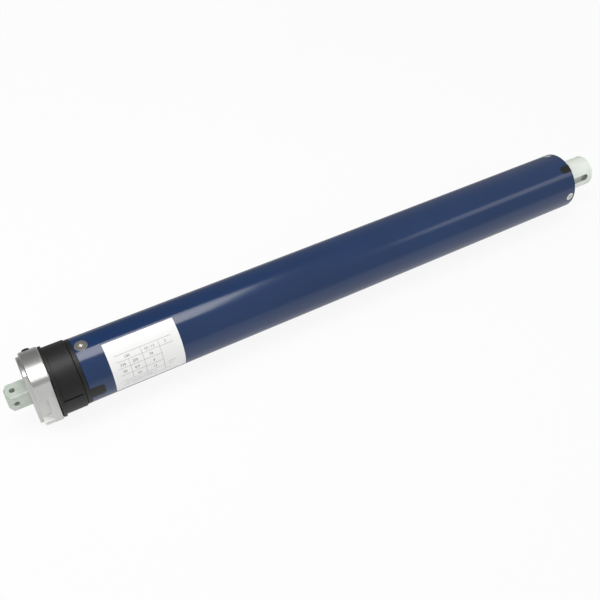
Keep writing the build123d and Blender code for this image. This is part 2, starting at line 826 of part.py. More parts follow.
def terminal_block():
    """The terminal block on the end plate, with its wire holes."""
    end = end_plate_end + terminal_depth
    body = block(terminal_height, terminal_width, end_plate_end, end, (0, -terminal_height / 2))
    pitch = terminal_width / terminal_count
    for number in range(terminal_count):
        at = (0, -terminal_height / 2 + pitch * (number - (terminal_count - 1) / 2))
        body -= rod(terminal_hole_radius, end - terminal_hole_depth, end + overrun, at)
    return body


def left_screw():
    """A countersunk cross-recess screw, built up local Z."""
    top = tube_radius - screw_sink
    screw = tube_screw(left_screw_head_radius, left_screw_radius, left_screw_point)
    for turn in (0, 90):
        slot = block(cross_slot_length, cross_slot_width, top - cross_slot_depth, top + overrun)
        screw -= Rot(0, 0, turn) * slot
    return screw


def right_screw():
    """A countersunk socket screw, built up local Z."""
    top = tube_radius - screw_sink
    screw = tube_screw(right_screw_head_radius, right_screw_radius, right_screw_point)
    socket = extrude(RegularPolygon(right_socket_radius, 6), right_socket_depth + overrun)
    return screw - Pos(0, 0, top - right_socket_depth) * socket


def head_tube_screws():
    """The screws that fasten the tube to the limit housing."""
    station_at = tube_start + left_screw_from_end
    return Compound(children=[outward(left_screw(), turn, station_at) for turn in left_screw_turns])


def gearbox_tube_screws():
    """The screws that fasten the tube to the end cap."""
    station_at = tube_end - right_screw_from_end
    return Compound(children=[outward(right_screw(), turn, station_at) for turn in right_screw_turns])


def tube():
    """The painted motor tube, with a notch for each key and countersunk screw holes."""
    body = chamfered_rod(tube_radius, tube_start, tube_end, tube_edge)
    body -= rod(tube_bore, tube_start - overrun, tube_end + overrun)
    body -= left_key(tube_bore - overrun, tube_radius + overrun, key_gap)
    body -= right_key(tube_bore - overrun, tube_radius + overrun, key_gap)
    for turn in left_screw_turns:
        body -= outward(left_screw_seat(), turn, tube_start + left_screw_from_end)
    for turn in right_screw_turns:
        body -= outward(right_screw_seat(), turn, tube_end - right_screw_from_end)
    return body


def rating_label():
    """The label, bent round the tube."""
    start = tube_start + label_start
    first, last = label_turns
    patch = wedge(tube_radius + label_thickness, last - first, label_length)
    patch -= rod(tube_radius, -overrun, label_length + overrun)
    return Pos(0, 0, start) * Rot(0, 0, first) * patch


def capacitor():
    """The run capacitor's can."""
    return chamfered_rod(capacitor_radius, capacitor_start, capacitor_end, capacitor_edge)


def capacitor_holders():
    """The two rings that carry the capacitor in the tube, each open for the wires."""
    holders = []
    for start in (capacitor_start + holder_inset, capacitor_end - holder_inset - holder_length):
        end = start + holder_length
        holder = sleeve(spigot_radius, capacitor_radius + seat_gap, start, end)
        for turn in (0, 90, 180, 270):
            holder -= rod(holder_lightening, start - overrun, end + overrun, polar(spigot_radius, turn))
        holders.append(holder)
    return Compound(children=holders)


def brake_housing():
    """The cup that holds the brake between the capacitor and the motor."""
    cup = rod(spigot_radius, brake_start, rear_shield_start)
    cup -= rod(brake_bore, pot_start, rear_shield_start + overrun)
    cup += sleeve(spigot_radius, armature_radius + pot_wall / 2, counter_plate_end,
                  counter_plate_end + brake_base)
    return cup - rod(wire_hole_radius, 0, rear_shield_start, polar(inlet_from_axis, inlet_turn))


def brake_pot():
    """The brake's iron pot, with the spring's pocket and the armature's guide pins."""
    pot = chamfered_rod(pot_radius, pot_start, pot_end, edge_break)
    pot -= sleeve(pot_radius - pot_wall, pot_hub_radius, pot_start + pot_floor, pot_end + overrun)
    pocket = spring_radius + spring_pocket_gap
    pot -= rod(pocket, pot_start + pot_floor, pot_end + overrun)
    for turn in guide_pin_turns:
        at = polar(guide_pin_circle, turn)
        pot += rod(guide_pin_radius, pot_end - overrun, counter_plate_start, at)
    return pot


def brake_coil():
    """The coil in the brake's pot."""
    outer = pot_radius - pot_wall - coil_gap
    return sleeve(outer, pot_hub_radius + coil_gap, pot_start + pot_floor, pot_end - coil_gap)


def brake_spring():
    """The spring that presses the armature on the brake disc."""
    return sleeve(spring_radius, spring_radius - spring_wire, pot_start + pot_floor, armature_start)


def brake_armature():
    """The plate that the coil pulls off the brake disc."""
    plate = sleeve(armature_radius, armature_bore, armature_start, armature_end)
    for turn in guide_pin_turns:
        at = polar(guide_pin_circle, turn)
        plate -= rod(guide_pin_radius + running_gap, armature_start - overrun, armature_end + overrun, at)
    return plate


def brake_disc():
    """The lined disc on the rotor shaft's end."""
    disc = rod(disc_radius, disc_start, disc_end) + rod(disc_hub_radius, disc_start, disc_hub_end)
    return disc - rod(shaft_radius + seat_gap, disc_start + side_gap, disc_hub_end + overrun)


def brake_counter_plate():
    """The fixed plate that the disc is pressed against."""
    return sleeve(brake_bore - seat_gap, counter_plate_bore, counter_plate_start, counter_plate_end)


def end_shield(start, end, seat_start, seat_end):
    """A motor end shield with its bearing's seat and a wire hole."""
    shield = chamfered_rod(spigot_radius, start, end, edge_break)
    shield -= rod(bearing_radius - bearing_race, start - overrun, end + overrun)
    shield -= rod(bearing_radius + seat_gap, seat_start, seat_end)
    at = polar(bearing_radius + bearing_race + wire_hole_radius, inlet_turn)
    return shield - rod(wire_hole_radius, start - overrun, end + overrun, at)


def rear_end_shield():
    """The end shield on the brake's side."""
    start = rear_shield_end - bearing_width
    return end_shield(rear_shield_start, rear_shield_end, start, rear_shield_end + overrun)


def front_end_shield():
    """The end shield on the gearbox's side."""
    end = front_shield_start + bearing_width
    return end_shield(front_shield_start, front_shield_end, front_shield_start - overrun, end)


def ball_bearing(bore, outer, width, race, ball_radius, balls, start):
    """A ball bearing's outer race, inner race and balls, each apart by a small gap."""
    middle = start + width / 2
    ball_circle = (bore + outer) / 2
    track = Pos(0, 0, middle) * Torus(ball_circle, ball_radius + running_gap)
    inner = sleeve(bore + race, bore, start, start + width) - track
    outer_race = sleeve(outer, outer - race, start, start + width) - track
    pieces = [inner, outer_race]
    for number in range(balls):
        x, y = polar(ball_circle, 360 * number / balls)
        pieces.append(Pos(x, y, middle) * Sphere(ball_radius))
    return pieces


def rotor_bearings():
    """The two ball bearings that carry the rotor."""
    pieces = []
    for start in (rear_shield_end - bearing_width, front_shield_start):
        pieces += ball_bearing(shaft_radius + running_gap, bearing_radius, bearing_width, bearing_race,
                               bearing_ball_radius, bearing_balls, start)
    return Compound(children=pieces)


def slots(gap, start, end):
    """The bars that fill the stator's slots, each smaller by a gap all round."""
    depth = winding_outer_radius - winding_inner_radius - 2 * gap
    middle = (winding_outer_radius + winding_inner_radius) / 2
    bars = []
    for number in range(slot_count):
        bar = block(depth, slot_width - 2 * gap, start, end, (middle, 0))
        bars.append(Rot(0, 0, 360 * number / slot_count) * bar)
    return bars


def stator_core():
    """The stator's laminated core."""
    core = sleeve(spigot_radius, stator_bore_radius, stator_start, stator_end)
    for bar in slots(0, stator_start - overrun, stator_end + overrun):
        core -= bar
    return core


def stator_windings():
    """The windings: a bar in each slot, and an overhang at each end."""
    windings = None
    for start, end in ((stator_start - winding_overhang, stator_start - slot_gap),
                       (stator_end + slot_gap, stator_end + winding_overhang)):
        overhang = chamfered_rod(winding_outer_radius, start, end, winding_edge)
        overhang -= rod(winding_inner_radius, start - overrun, end + overrun)
        windings = windings + overhang if windings else overhang
    for bar in slots(slot_gap, stator_start - overrun, stator_end + overrun):
        windings += bar
    return windings


def thermal_protector():
    """The cut-out that rests on the windings."""
    start = stator_end + winding_gap
    at = (winding_outer_radius + slot_gap + protector_thickness / 2, 0)
    return block(protector_thickness, protector_width, start, start + protector_length, at)


def rotor_shaft():
    """The rotor's shaft, from the brake disc to the first sun gear."""
    body = rod(shaft_radius, disc_start + side_gap, front_shield_end + gearbox_input_gap / 2)
    return body + rod(sun_shaft_radius, front_shield_end, planet_starts[0] + stage_lengths[0])


def rotor_core():
    """The rotor's cage."""
    start, end = stator_start - rotor_overhang, stator_end + rotor_overhang
    core = chamfered_rod(stator_bore_radius - rotor_gap, start, end, edge_break)
    return core - rod(shaft_radius + seat_gap, start - overrun, end + overrun)


def first_planet_tooth():
    """The turn of a tooth on the first planet of each stage."""
    return meshed_turn(0, sun_teeth, first_planet_turn, planet_teeth)


def gearbox_housing():
    """The gearbox's casing, with the ring gear's teeth on its inside and the inner bearing's seat."""
    phase = first_planet_turn + planet_teeth / ring_teeth * (first_planet_tooth() - first_planet_turn)
    housing = rod(spigot_radius, front_shield_end, cap_start)
    housing -= gear_hollow(ring_teeth, gear_module, front_shield_end - overrun, ring_end, phase)
    housing -= rod(output_bearing_radius - output_bearing_race, ring_end, cap_start + overrun)
    housing -= rod(output_bearing_radius + seat_gap, ring_end, inner_bearing_end)
    return housing - rod(output_bearing_radius + seat_gap, outer_bearing_start, cap_start + overrun)


def stage_1_sun():
    """The first sun gear, on the end of the rotor shaft."""
    gear = spur_gear(sun_teeth, gear_module, planet_starts[0], planet_starts[0] + stage_lengths[0])
    return gear - rod(sun_shaft_radius + seat_gap, 0, output_end)


def carrier(stage):
    """A carrier's plate and its planet pins."""
    start = carrier_starts[stage]
    plate = chamfered_rod(carrier_radius, start, start + carrier_thicknesses[stage], edge_break)
    for number in range(planet_count):
        at = polar(planet_circle, first_planet_turn + 360 * number / planet_count)
        plate += rod(planet_pin_radius, planet_starts[stage], start + overrun, at)
    return plate


def sun_carrier(stage):
    """A carrier with the next stage's sun gear on it."""
    gear_end = planet_starts[stage + 1] + stage_lengths[stage + 1]
    carrier_end = carrier_starts[stage] + carrier_thicknesses[stage]
    return carrier(stage) + spur_gear(sun_teeth, gear_module, carrier_end - overrun, gear_end)


def output_carrier():
    """The last carrier, with the hexagonal stub that turns the output shaft."""
    stub = extrude(RegularPolygon(stub_across_corners / 2, 6), stub_length + overrun)
    return carrier(2) + Pos(0, 0, output_start - stage_gap - overrun) * stub


def planet(stage, number):
    """One planet gear on its pin."""
    line = first_planet_turn + 360 * number / planet_count
    start = planet_starts[stage]
    end = start + stage_lengths[stage]
    at = polar(planet_circle, line)
    gear = spur_gear(planet_teeth, gear_module, start, end, at, meshed_turn(0, sun_teeth, line, planet_teeth))
    return gear - rod(planet_pin_radius + running_gap, 0, output_end, at)


def output_shaft():
    """The output shaft: its journal, its keyed end and the groove for a retaining ring."""
    journal = rod(journal_radius, output_start, output_shoulder + overrun)
    end = rod(output_radius, output_shoulder, output_end)
    end = chamfer(end.edges().filter_by(GeomType.CIRCLE).sort_by(Axis.Z)[-1], output_edge)
    shaft = journal + end
    groove_start = output_end - groove_from_end
    shaft -= sleeve(output_radius + overrun, groove_radius, groove_start, groove_start + groove_width)
    socket = extrude(RegularPolygon(stub_across_corners / 2 + running_gap, 6), stub_length + overrun)
    shaft -= Pos(0, 0, output_start) * socket
    key_radius = keyway_width / 2
    key_end = output_shoulder + keyway_length - key_radius
    keyway = block(2 * keyway_depth, keyway_width, output_shoulder - overrun, key_end)
    keyway += Pos(0, 0, key_end) * Rot(0, 90, 0) * Cylinder(key_radius, 2 * keyway_depth)
    return shaft - Rot(0, 0, keyway_turn) * Pos(output_radius, 0, 0) * keyway


def output_bearings():
    """The two ball bearings that carry the output shaft."""
    pieces = []
    for start in (inner_bearing_start, outer_bearing_start):
        pieces += ball_bearing(journal_radius + running_gap, output_bearing_radius, output_bearing_width,
                               output_bearing_race, output_ball_radius, output_balls, start)
    return Compound(children=pieces)


def gearbox_end_cap():
    """The cap that closes the tube round the output shaft, with its key and screw holes."""
    cap = chamfered_rod(spigot_radius, cap_start, tube_end, edge_break)
    cap -= rod(cap_bore, cap_start - overrun, tube_end + overrun)
    cap -= rod(seal_radius + seat_gap, seal_start, tube_end + overrun)
    for turn in right_screw_turns:
        cap -= outward(right_screw_seat(), turn, tube_end - right_screw_from_end)
    return cap + right_key(spigot_radius - spigot_wall / 2, tube_radius)


def shaft_seal():
    """The lip seal in the end cap."""
    return sleeve(seal_radius, journal_radius + running_gap, seal_start, tube_end)


PIECES = {
    "fixing_shaft": fixing_shaft,
    "bar_washer": bar_washer,
    "bar_nut": bar_nut,
    "head_casting": head_casting,
    "head_screws": head_screws,
    "cable_grommet": cable_grommet,
    "crown_ring": crown_ring,
    "limit_housing": limit_housing,
    "counter_pinion": counter_pinion,
    "counter_idler": counter_idler,
    "counter_layshaft": counter_layshaft,
    "cam_spindle": cam_spindle,
    "limit_switches": limit_switches,
    "limit_end_plate": limit_end_plate,
    "terminal_block": terminal_block,
    "head_tube_screws": head_tube_screws,
    "tube": tube,
    "rating_label": rating_label,
    "capacitor": capacitor,
    "capacitor_holders": capacitor_holders,
    "brake_housing": brake_housing,
    "brake_pot": brake_pot,
    "brake_coil": brake_coil,
    "brake_spring": brake_spring,
    "brake_armature": brake_armature,
    "brake_disc": brake_disc,
    "brake_counter_plate": brake_counter_plate,
    "rear_end_shield": rear_end_shield,
    "front_end_shield": front_end_shield,
    "rotor_bearings": rotor_bearings,
    "stator_core": stator_core,
    "stator_windings": stator_windings,
    "thermal_protector": thermal_protector,
    "rotor_shaft": rotor_shaft,
    "rotor_core": rotor_core,
    "gearbox_housing": gearbox_housing,
    "stage_1_sun": stage_1_sun,
    "output_carrier": output_carrier,
    "output_shaft": output_shaft,
    "output_bearings": output_bearings,
    "gearbox_end_cap": gearbox_end_cap,
    "shaft_seal": shaft_seal,
    "gearbox_tube_screws": gearbox_tube_screws,
}


def write(name, shape):
    """Lays a piece down along X and writes its file."""
    export_step(Plane.YZ.location * shape, f"parts/{name}.step")


def main():
    """Builds every piece and writes each to a file of its own."""
    os.makedirs("parts", exist_ok=True)
    for name, build in PIECES.items():
        write(name, build())
    for side, turn in button_turns.items():
        write(f"limit_button_{side}", limit_button(turn))
    write("cam_wheel_up", cam_wheel(cam_up_teeth, cam_up_end, cam_up_start, cam_up_teeth, cam_lobe_turn))
    write("cam_wheel_down", cam_wheel(cam_down_start, cam_down_teeth_end, cam_down_teeth_end, cam_down_end,
                                      -cam_lobe_turn))
    write("switch_lever_up", switch_lever(cam_up_middle()))
    write("switch_lever_down", switch_lever(cam_down_middle()))
    for stage in (0, 1):
        write(f"stage_{stage + 1}_carrier", sun_carrier(stage))
    for stage in range(len(stage_lengths)):
        for number in range(planet_count):
            write(f"stage_{stage + 1}_planet_{number + 1}", planet(stage, number))


main()
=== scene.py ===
"""Dresses the tubular blind motor in its real finishes and sets it in a plain studio."""
import logging
from dataclasses import dataclass
from enum import Enum
from math import cos, pi, radians, sin
from typing import ClassVar

import bmesh
import bpy
from mathutils import Matrix, Vector


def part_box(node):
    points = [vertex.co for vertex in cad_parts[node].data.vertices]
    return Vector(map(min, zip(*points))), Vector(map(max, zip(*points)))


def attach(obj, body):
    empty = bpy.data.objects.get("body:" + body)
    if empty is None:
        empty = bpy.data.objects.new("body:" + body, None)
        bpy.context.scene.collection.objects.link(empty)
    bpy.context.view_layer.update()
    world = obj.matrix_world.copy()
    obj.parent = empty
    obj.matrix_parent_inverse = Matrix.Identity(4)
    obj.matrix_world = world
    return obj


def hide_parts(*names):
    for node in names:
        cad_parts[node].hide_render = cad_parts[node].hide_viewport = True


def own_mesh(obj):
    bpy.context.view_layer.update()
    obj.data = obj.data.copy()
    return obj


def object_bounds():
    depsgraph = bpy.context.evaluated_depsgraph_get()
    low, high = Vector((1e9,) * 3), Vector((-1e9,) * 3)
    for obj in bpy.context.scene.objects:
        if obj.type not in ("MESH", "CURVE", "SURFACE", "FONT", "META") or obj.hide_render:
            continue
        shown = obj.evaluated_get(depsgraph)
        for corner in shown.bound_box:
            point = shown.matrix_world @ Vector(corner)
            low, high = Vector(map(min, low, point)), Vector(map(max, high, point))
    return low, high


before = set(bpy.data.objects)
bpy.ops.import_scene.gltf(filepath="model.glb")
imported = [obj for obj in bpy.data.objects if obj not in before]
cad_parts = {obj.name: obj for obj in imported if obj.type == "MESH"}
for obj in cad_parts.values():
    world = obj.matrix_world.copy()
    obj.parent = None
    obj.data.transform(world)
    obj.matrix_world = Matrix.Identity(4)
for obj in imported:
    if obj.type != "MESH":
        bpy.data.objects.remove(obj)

log = logging.getLogger("blind_motor")

MM = 0.001
CAD_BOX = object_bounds()
Color = tuple[float, float, float, float]
Triple = tuple[float, float, float]
Pair = tuple[float, float]
GRAIN_BAND: Pair = (0.3, 0.7)
SMOOTH_UNDER = radians(35)
MERGE_UNDER = 1e-7
WATTS_PER_RADIANCE = 4.0
WHITE: Color = (1.0, 1.0, 1.0, 1.0)
SRGB_KNEE, SRGB_SLOPE, SRGB_OFFSET, SRGB_POWER = 0.04045, 12.92, 0.055, 2.4


def tone(code: str) -> Color:
    """Turns a screen colour into linear light.

    Args:
        code: Six hex digits, as in "2c4064".

    Returns:
        Red, green, blue and a full alpha.
    """
    parts = [int(code[i:i + 2], 16) / 255 for i in (0, 2, 4)]
    linear = [p / SRGB_SLOPE if p <= SRGB_KNEE else ((p + SRGB_OFFSET) / (1 + SRGB_OFFSET)) ** SRGB_POWER
              for p in parts]
    return (*linear, 1.0)


class Sheet:
    """A short hand for adding and joining the nodes of one tree."""

    # The Mix node has sockets for each type of data; these are the factor and the ones for colours.
    MIX_INPUTS = (0, 6, 7)
    MIX_RESULT = 2

    def __init__(self, tree: bpy.types.NodeTree) -> None:
        """Keeps the tree that the nodes go into."""
        self.tree = tree

    def feed(self, socket: bpy.types.NodeSocket, value: object) -> None:
        """Links a socket to another one, or sets its plain value.

        Args:
            socket: The input to fill.
            value: An output socket, or a number, colour or vector.
        """
        if isinstance(value, bpy.types.NodeSocket):
            self.tree.links.new(value, socket)
        else:
            socket.default_value = value

    def add(self, kind: str, inputs: dict[str | int, object] | None = None, **options: object) -> bpy.types.Node:
        """Adds a node.

        Args:
            kind: The node's type.
            inputs: What to link to or set on its inputs, by their names or numbers.
            **options: The node's own settings.

        Returns:
            The new node.
        """
        node = self.tree.nodes.new(kind)
        for name, value in options.items():
            setattr(node, name, value)
        for name, value in (inputs or {}).items():
            self.feed(node.inputs[name], value)
        return node

    def math(self, operation: str, *values: object) -> bpy.types.NodeSocket:
        """Returns the result of a Math node that is fed in order with numbers or sockets."""
        return self.add("ShaderNodeMath", dict(enumerate(values)), operation=operation).outputs[0]

    def largest(self, values: list[bpy.types.NodeSocket]) -> bpy.types.NodeSocket:
        """Joins several values to their largest.

        Args:
            values: The values' sockets.

        Returns:
            The largest value's socket.
        """
        result = values[0]
        for value in values[1:]:
            result = self.math("MAXIMUM", result, value)
        return result

    def within(self, value: object, low: float, high: float) -> bpy.types.NodeSocket:
        """Returns a mask that is 1 where a value lies between two others."""
        return self.math("COMPARE", value, (low + high) / 2, (high - low) / 2)

    def blend(self, factor: object, first: object, second: object) -> bpy.types.NodeSocket:
        """Returns the mix of two colours, where the factor says how much of the second shows."""
        inputs = dict(zip(self.MIX_INPUTS, (factor, first, second)))
        return self.add("ShaderNodeMix", inputs, data_type="RGBA").outputs[self.MIX_RESULT]

    def span(self, value: object, low: float, high: float, to_low: object = 0.0,
             to_high: object = 1.0) -> bpy.types.NodeSocket:
        """Maps a value from one range to another, which is 0 to 1 if not given, and clamps it."""
        return self.add("ShaderNodeMapRange", {"Value": value, "From Min": low, "From Max": high,
                                               "To Min": to_low, "To Max": to_high}).outputs["Result"]

    def scaled(self, vector: object, factors: object) -> bpy.types.NodeSocket:
        """Returns a vector multiplied by three factors."""
        return self.add("ShaderNodeVectorMath", {0: vector, 1: factors}, operation="MULTIPLY").outputs[0]

    def noise(self, vector: object, scale: float = 1.0, detail: float = 2.0,
              roughness: float = 0.55) -> bpy.types.NodeSocket:
        """Adds a noise texture with so many features in a unit and so many finer layers, and returns its value."""
        node = self.add("ShaderNodeTexNoise", {"Vector": vector, "Scale": scale, "Detail": detail,
                                               "Roughness": roughness})
        return node.outputs[0]

    def place(self, system: str = "Object") -> bpy.types.bpy_prop_collection:
        """Returns the sockets X, Y and Z of the shaded point in one of its systems."""
        point = self.add("ShaderNodeTexCoord").outputs[system]
        return self.add("ShaderNodeSeparateXYZ", {"Vector": point}).outputs

    def mix_shaders(self, factor: object, first: bpy.types.Node, second: bpy.types.Node) -> bpy.types.NodeSocket:
        """Returns the mix of two shaders, where the factor says how much of the second shows."""
        node = self.add("ShaderNodeMixShader", {0: factor, 1: first.outputs[0], 2: second.outputs[0]})
        return node.outputs[0]


def start_material(name: str) -> tuple[bpy.types.Material, Sheet, bpy.types.Node]:
    """Starts a material.

    Args:
        name: The material's name.

    Returns:
        The material, its nodes and its Principled shader.
    """
    made = bpy.data.materials.new(name)
    made.use_nodes = True
    return made, Sheet(made.node_tree), made.node_tree.nodes["Principled BSDF"]


class Weathering:
    """The shader group that the finishes share: grain, slow variation, scratches and specks.

    Scales say how many features go into a metre, bands where a mask starts and where it is full.
    """

    BROAD_BAND: Pair = (0.32, 0.68)
    LONG_SCALES: Triple = (26.0, 900.0, 900.0)
    LONG_BAND: Pair = (0.66, 0.70)
    CROSS_SCALES: Triple = (1100.0, 40.0, 40.0)
    CROSS_BAND: Pair = (0.68, 0.72)
    THIN_SCALE = 55.0
    THIN_BAND: Pair = (0.46, 0.62)
    SPECK_SCALE = 850.0
    SPECK_BAND: Pair = (0.70, 0.74)
    SCRATCH_DEPTH = 0.6

    def __init__(self) -> None:
        """Builds the group once."""
        self.tree = bpy.data.node_groups.new("weathering", "ShaderNodeTree")
        for name, kind in (("Grain Place", "NodeSocketVector"), ("Place", "NodeSocketVector"),
                           ("Broad Scale", "NodeSocketFloat"), ("Scratch Amount", "NodeSocketFloat")):
            self.tree.interface.new_socket(name=name, in_out="INPUT", socket_type=kind)
        for name in ("Grain", "Broad", "Scratches", "Specks", "Height"):
            self.tree.interface.new_socket(name=name, in_out="OUTPUT", socket_type="NodeSocketFloat")
        sheet = Sheet(self.tree)
        entry = sheet.add("NodeGroupInput")
        place, amount = entry.outputs["Place"], entry.outputs["Scratch Amount"]
        grain = sheet.noise(entry.outputs["Grain Place"], detail=3.0)
        broad_place = sheet.add("ShaderNodeVectorMath", {0: place, "Scale": entry.outputs["Broad Scale"]},
                                operation="SCALE")
        broad = sheet.span(sheet.noise(broad_place.outputs[0], detail=4.0, roughness=0.6), *self.BROAD_BAND)
        along = sheet.span(sheet.noise(sheet.scaled(place, self.LONG_SCALES)), *self.LONG_BAND)
        across = sheet.span(sheet.noise(sheet.scaled(place, self.CROSS_SCALES)), *self.CROSS_BAND)
        thin_out = sheet.span(sheet.noise(place, self.THIN_SCALE), *self.THIN_BAND)
        scratches = sheet.math("MULTIPLY", sheet.largest([along, across]), thin_out)
        scratches = sheet.math("MULTIPLY", scratches, amount)
        specks = sheet.span(sheet.noise(place, self.SPECK_SCALE, detail=1.0), *self.SPECK_BAND)
        specks = sheet.math("MULTIPLY", specks, amount)
        height = sheet.math("SUBTRACT", grain, sheet.math("MULTIPLY", scratches, self.SCRATCH_DEPTH))
        sheet.add("NodeGroupOutput", {"Grain": grain, "Broad": broad, "Scratches": scratches, "Specks": specks,
                                      "Height": height})

    def place(self, sheet: Sheet, shader: bpy.types.Node, stretch: Triple, broad: float, scratches: float,
              relief: float) -> bpy.types.Node:
        """Puts the group into a material and its relief on the shader.

        Args:
            sheet: The material's nodes.
            shader: The material's shader.
            stretch: How many grains go into a metre each way.
            broad: How many slow patches go into a metre.
            scratches: How strong the scratches are.
            relief: How high the grain is, in millimetres.

        Returns:
            The group's node.
        """
        place = sheet.add("ShaderNodeTexCoord").outputs["Object"]
        node = sheet.add("ShaderNodeGroup", {"Grain Place": sheet.scaled(place, stretch), "Place": place,
                                             "Broad Scale": broad, "Scratch Amount": scratches},
                         node_tree=self.tree)
        bump = sheet.add("ShaderNodeBump", {"Strength": 1.0, "Distance": relief * MM,
                                            "Height": node.outputs["Height"]})
        sheet.feed(shader.inputs["Normal"], bump.outputs["Normal"])
        return node


class Grain(Enum):
    """The way a surface was made, as how far its grain is drawn out along X, Y and Z."""

    EVEN = (1.0, 1.0, 1.0)
    TURNED = (1.0, 0.02, 0.02)
    DRAWN = (0.02, 1.0, 1.0)
    STACKED = (1.0, 0.0, 0.0)
    WOUND = (0.06, 1.0, 1.0)


@dataclass(frozen=True)
class Finish:
    """One finish of the real object.

    Attributes:
        name: What a maker would call it.
        light: Its colour where it is clean.
        dark: Its colour in its slow patches.
        worn: The colour of its scratches.
        roughness: Its middle roughness.
        spread: How far the roughness goes to either side.
        metallic: 1 for bare metal.
        grain: The direction of its grain.
        grain_size: The grain's size, in millimetres.
        relief: The grain's height, in millimetres.
        broad: How many slow patches go into a metre.
        scratches: How strong the scratches are.
        mirror: How strongly it mirrors what is not metal, 0.5 for most.
    """

    MARK_ROUGHNESS: ClassVar[float] = 0.12

    name: str
    light: str
    dark: str
    worn: str
    roughness: float
    spread: float = 0.05
    metallic: float = 0.0
    grain: Grain = Grain.EVEN
    grain_size: float = 0.3
    relief: float = 0.01
    broad: float = 90.0
    scratches: float = 0.2
    mirror: float = 0.5

    def material(self, weathering: Weathering) -> bpy.types.Material:
        """Builds the material.

        Args:
            weathering: The shared group.

        Returns:
            The finished material.
        """
        made, sheet, shader = start_material(self.name)
        per_metre = 1.0 / (self.grain_size * MM)
        stretch = tuple(per_metre * share for share in self.grain.value)
        wear = weathering.place(sheet, shader, stretch, self.broad, self.scratches, self.relief)
        color = sheet.blend(wear.outputs["Broad"], tone(self.light), tone(self.dark))
        marks = sheet.math("MAXIMUM", wear.outputs["Scratches"], wear.outputs["Specks"])
        sheet.feed(shader.inputs["Base Color"], sheet.blend(marks, color, tone(self.worn)))
        rough = sheet.span(wear.outputs["Grain"], *GRAIN_BAND, self.roughness - self.spread,
                           self.roughness + self.spread)
        rough_marks = sheet.math("MULTIPLY", marks, self.MARK_ROUGHNESS)
        sheet.feed(shader.inputs["Roughness"], sheet.math("ADD", rough, rough_marks))
        shader.inputs["Metallic"].default_value = self.metallic
        shader.inputs["Specular IOR Level"].default_value = self.mirror
        return made


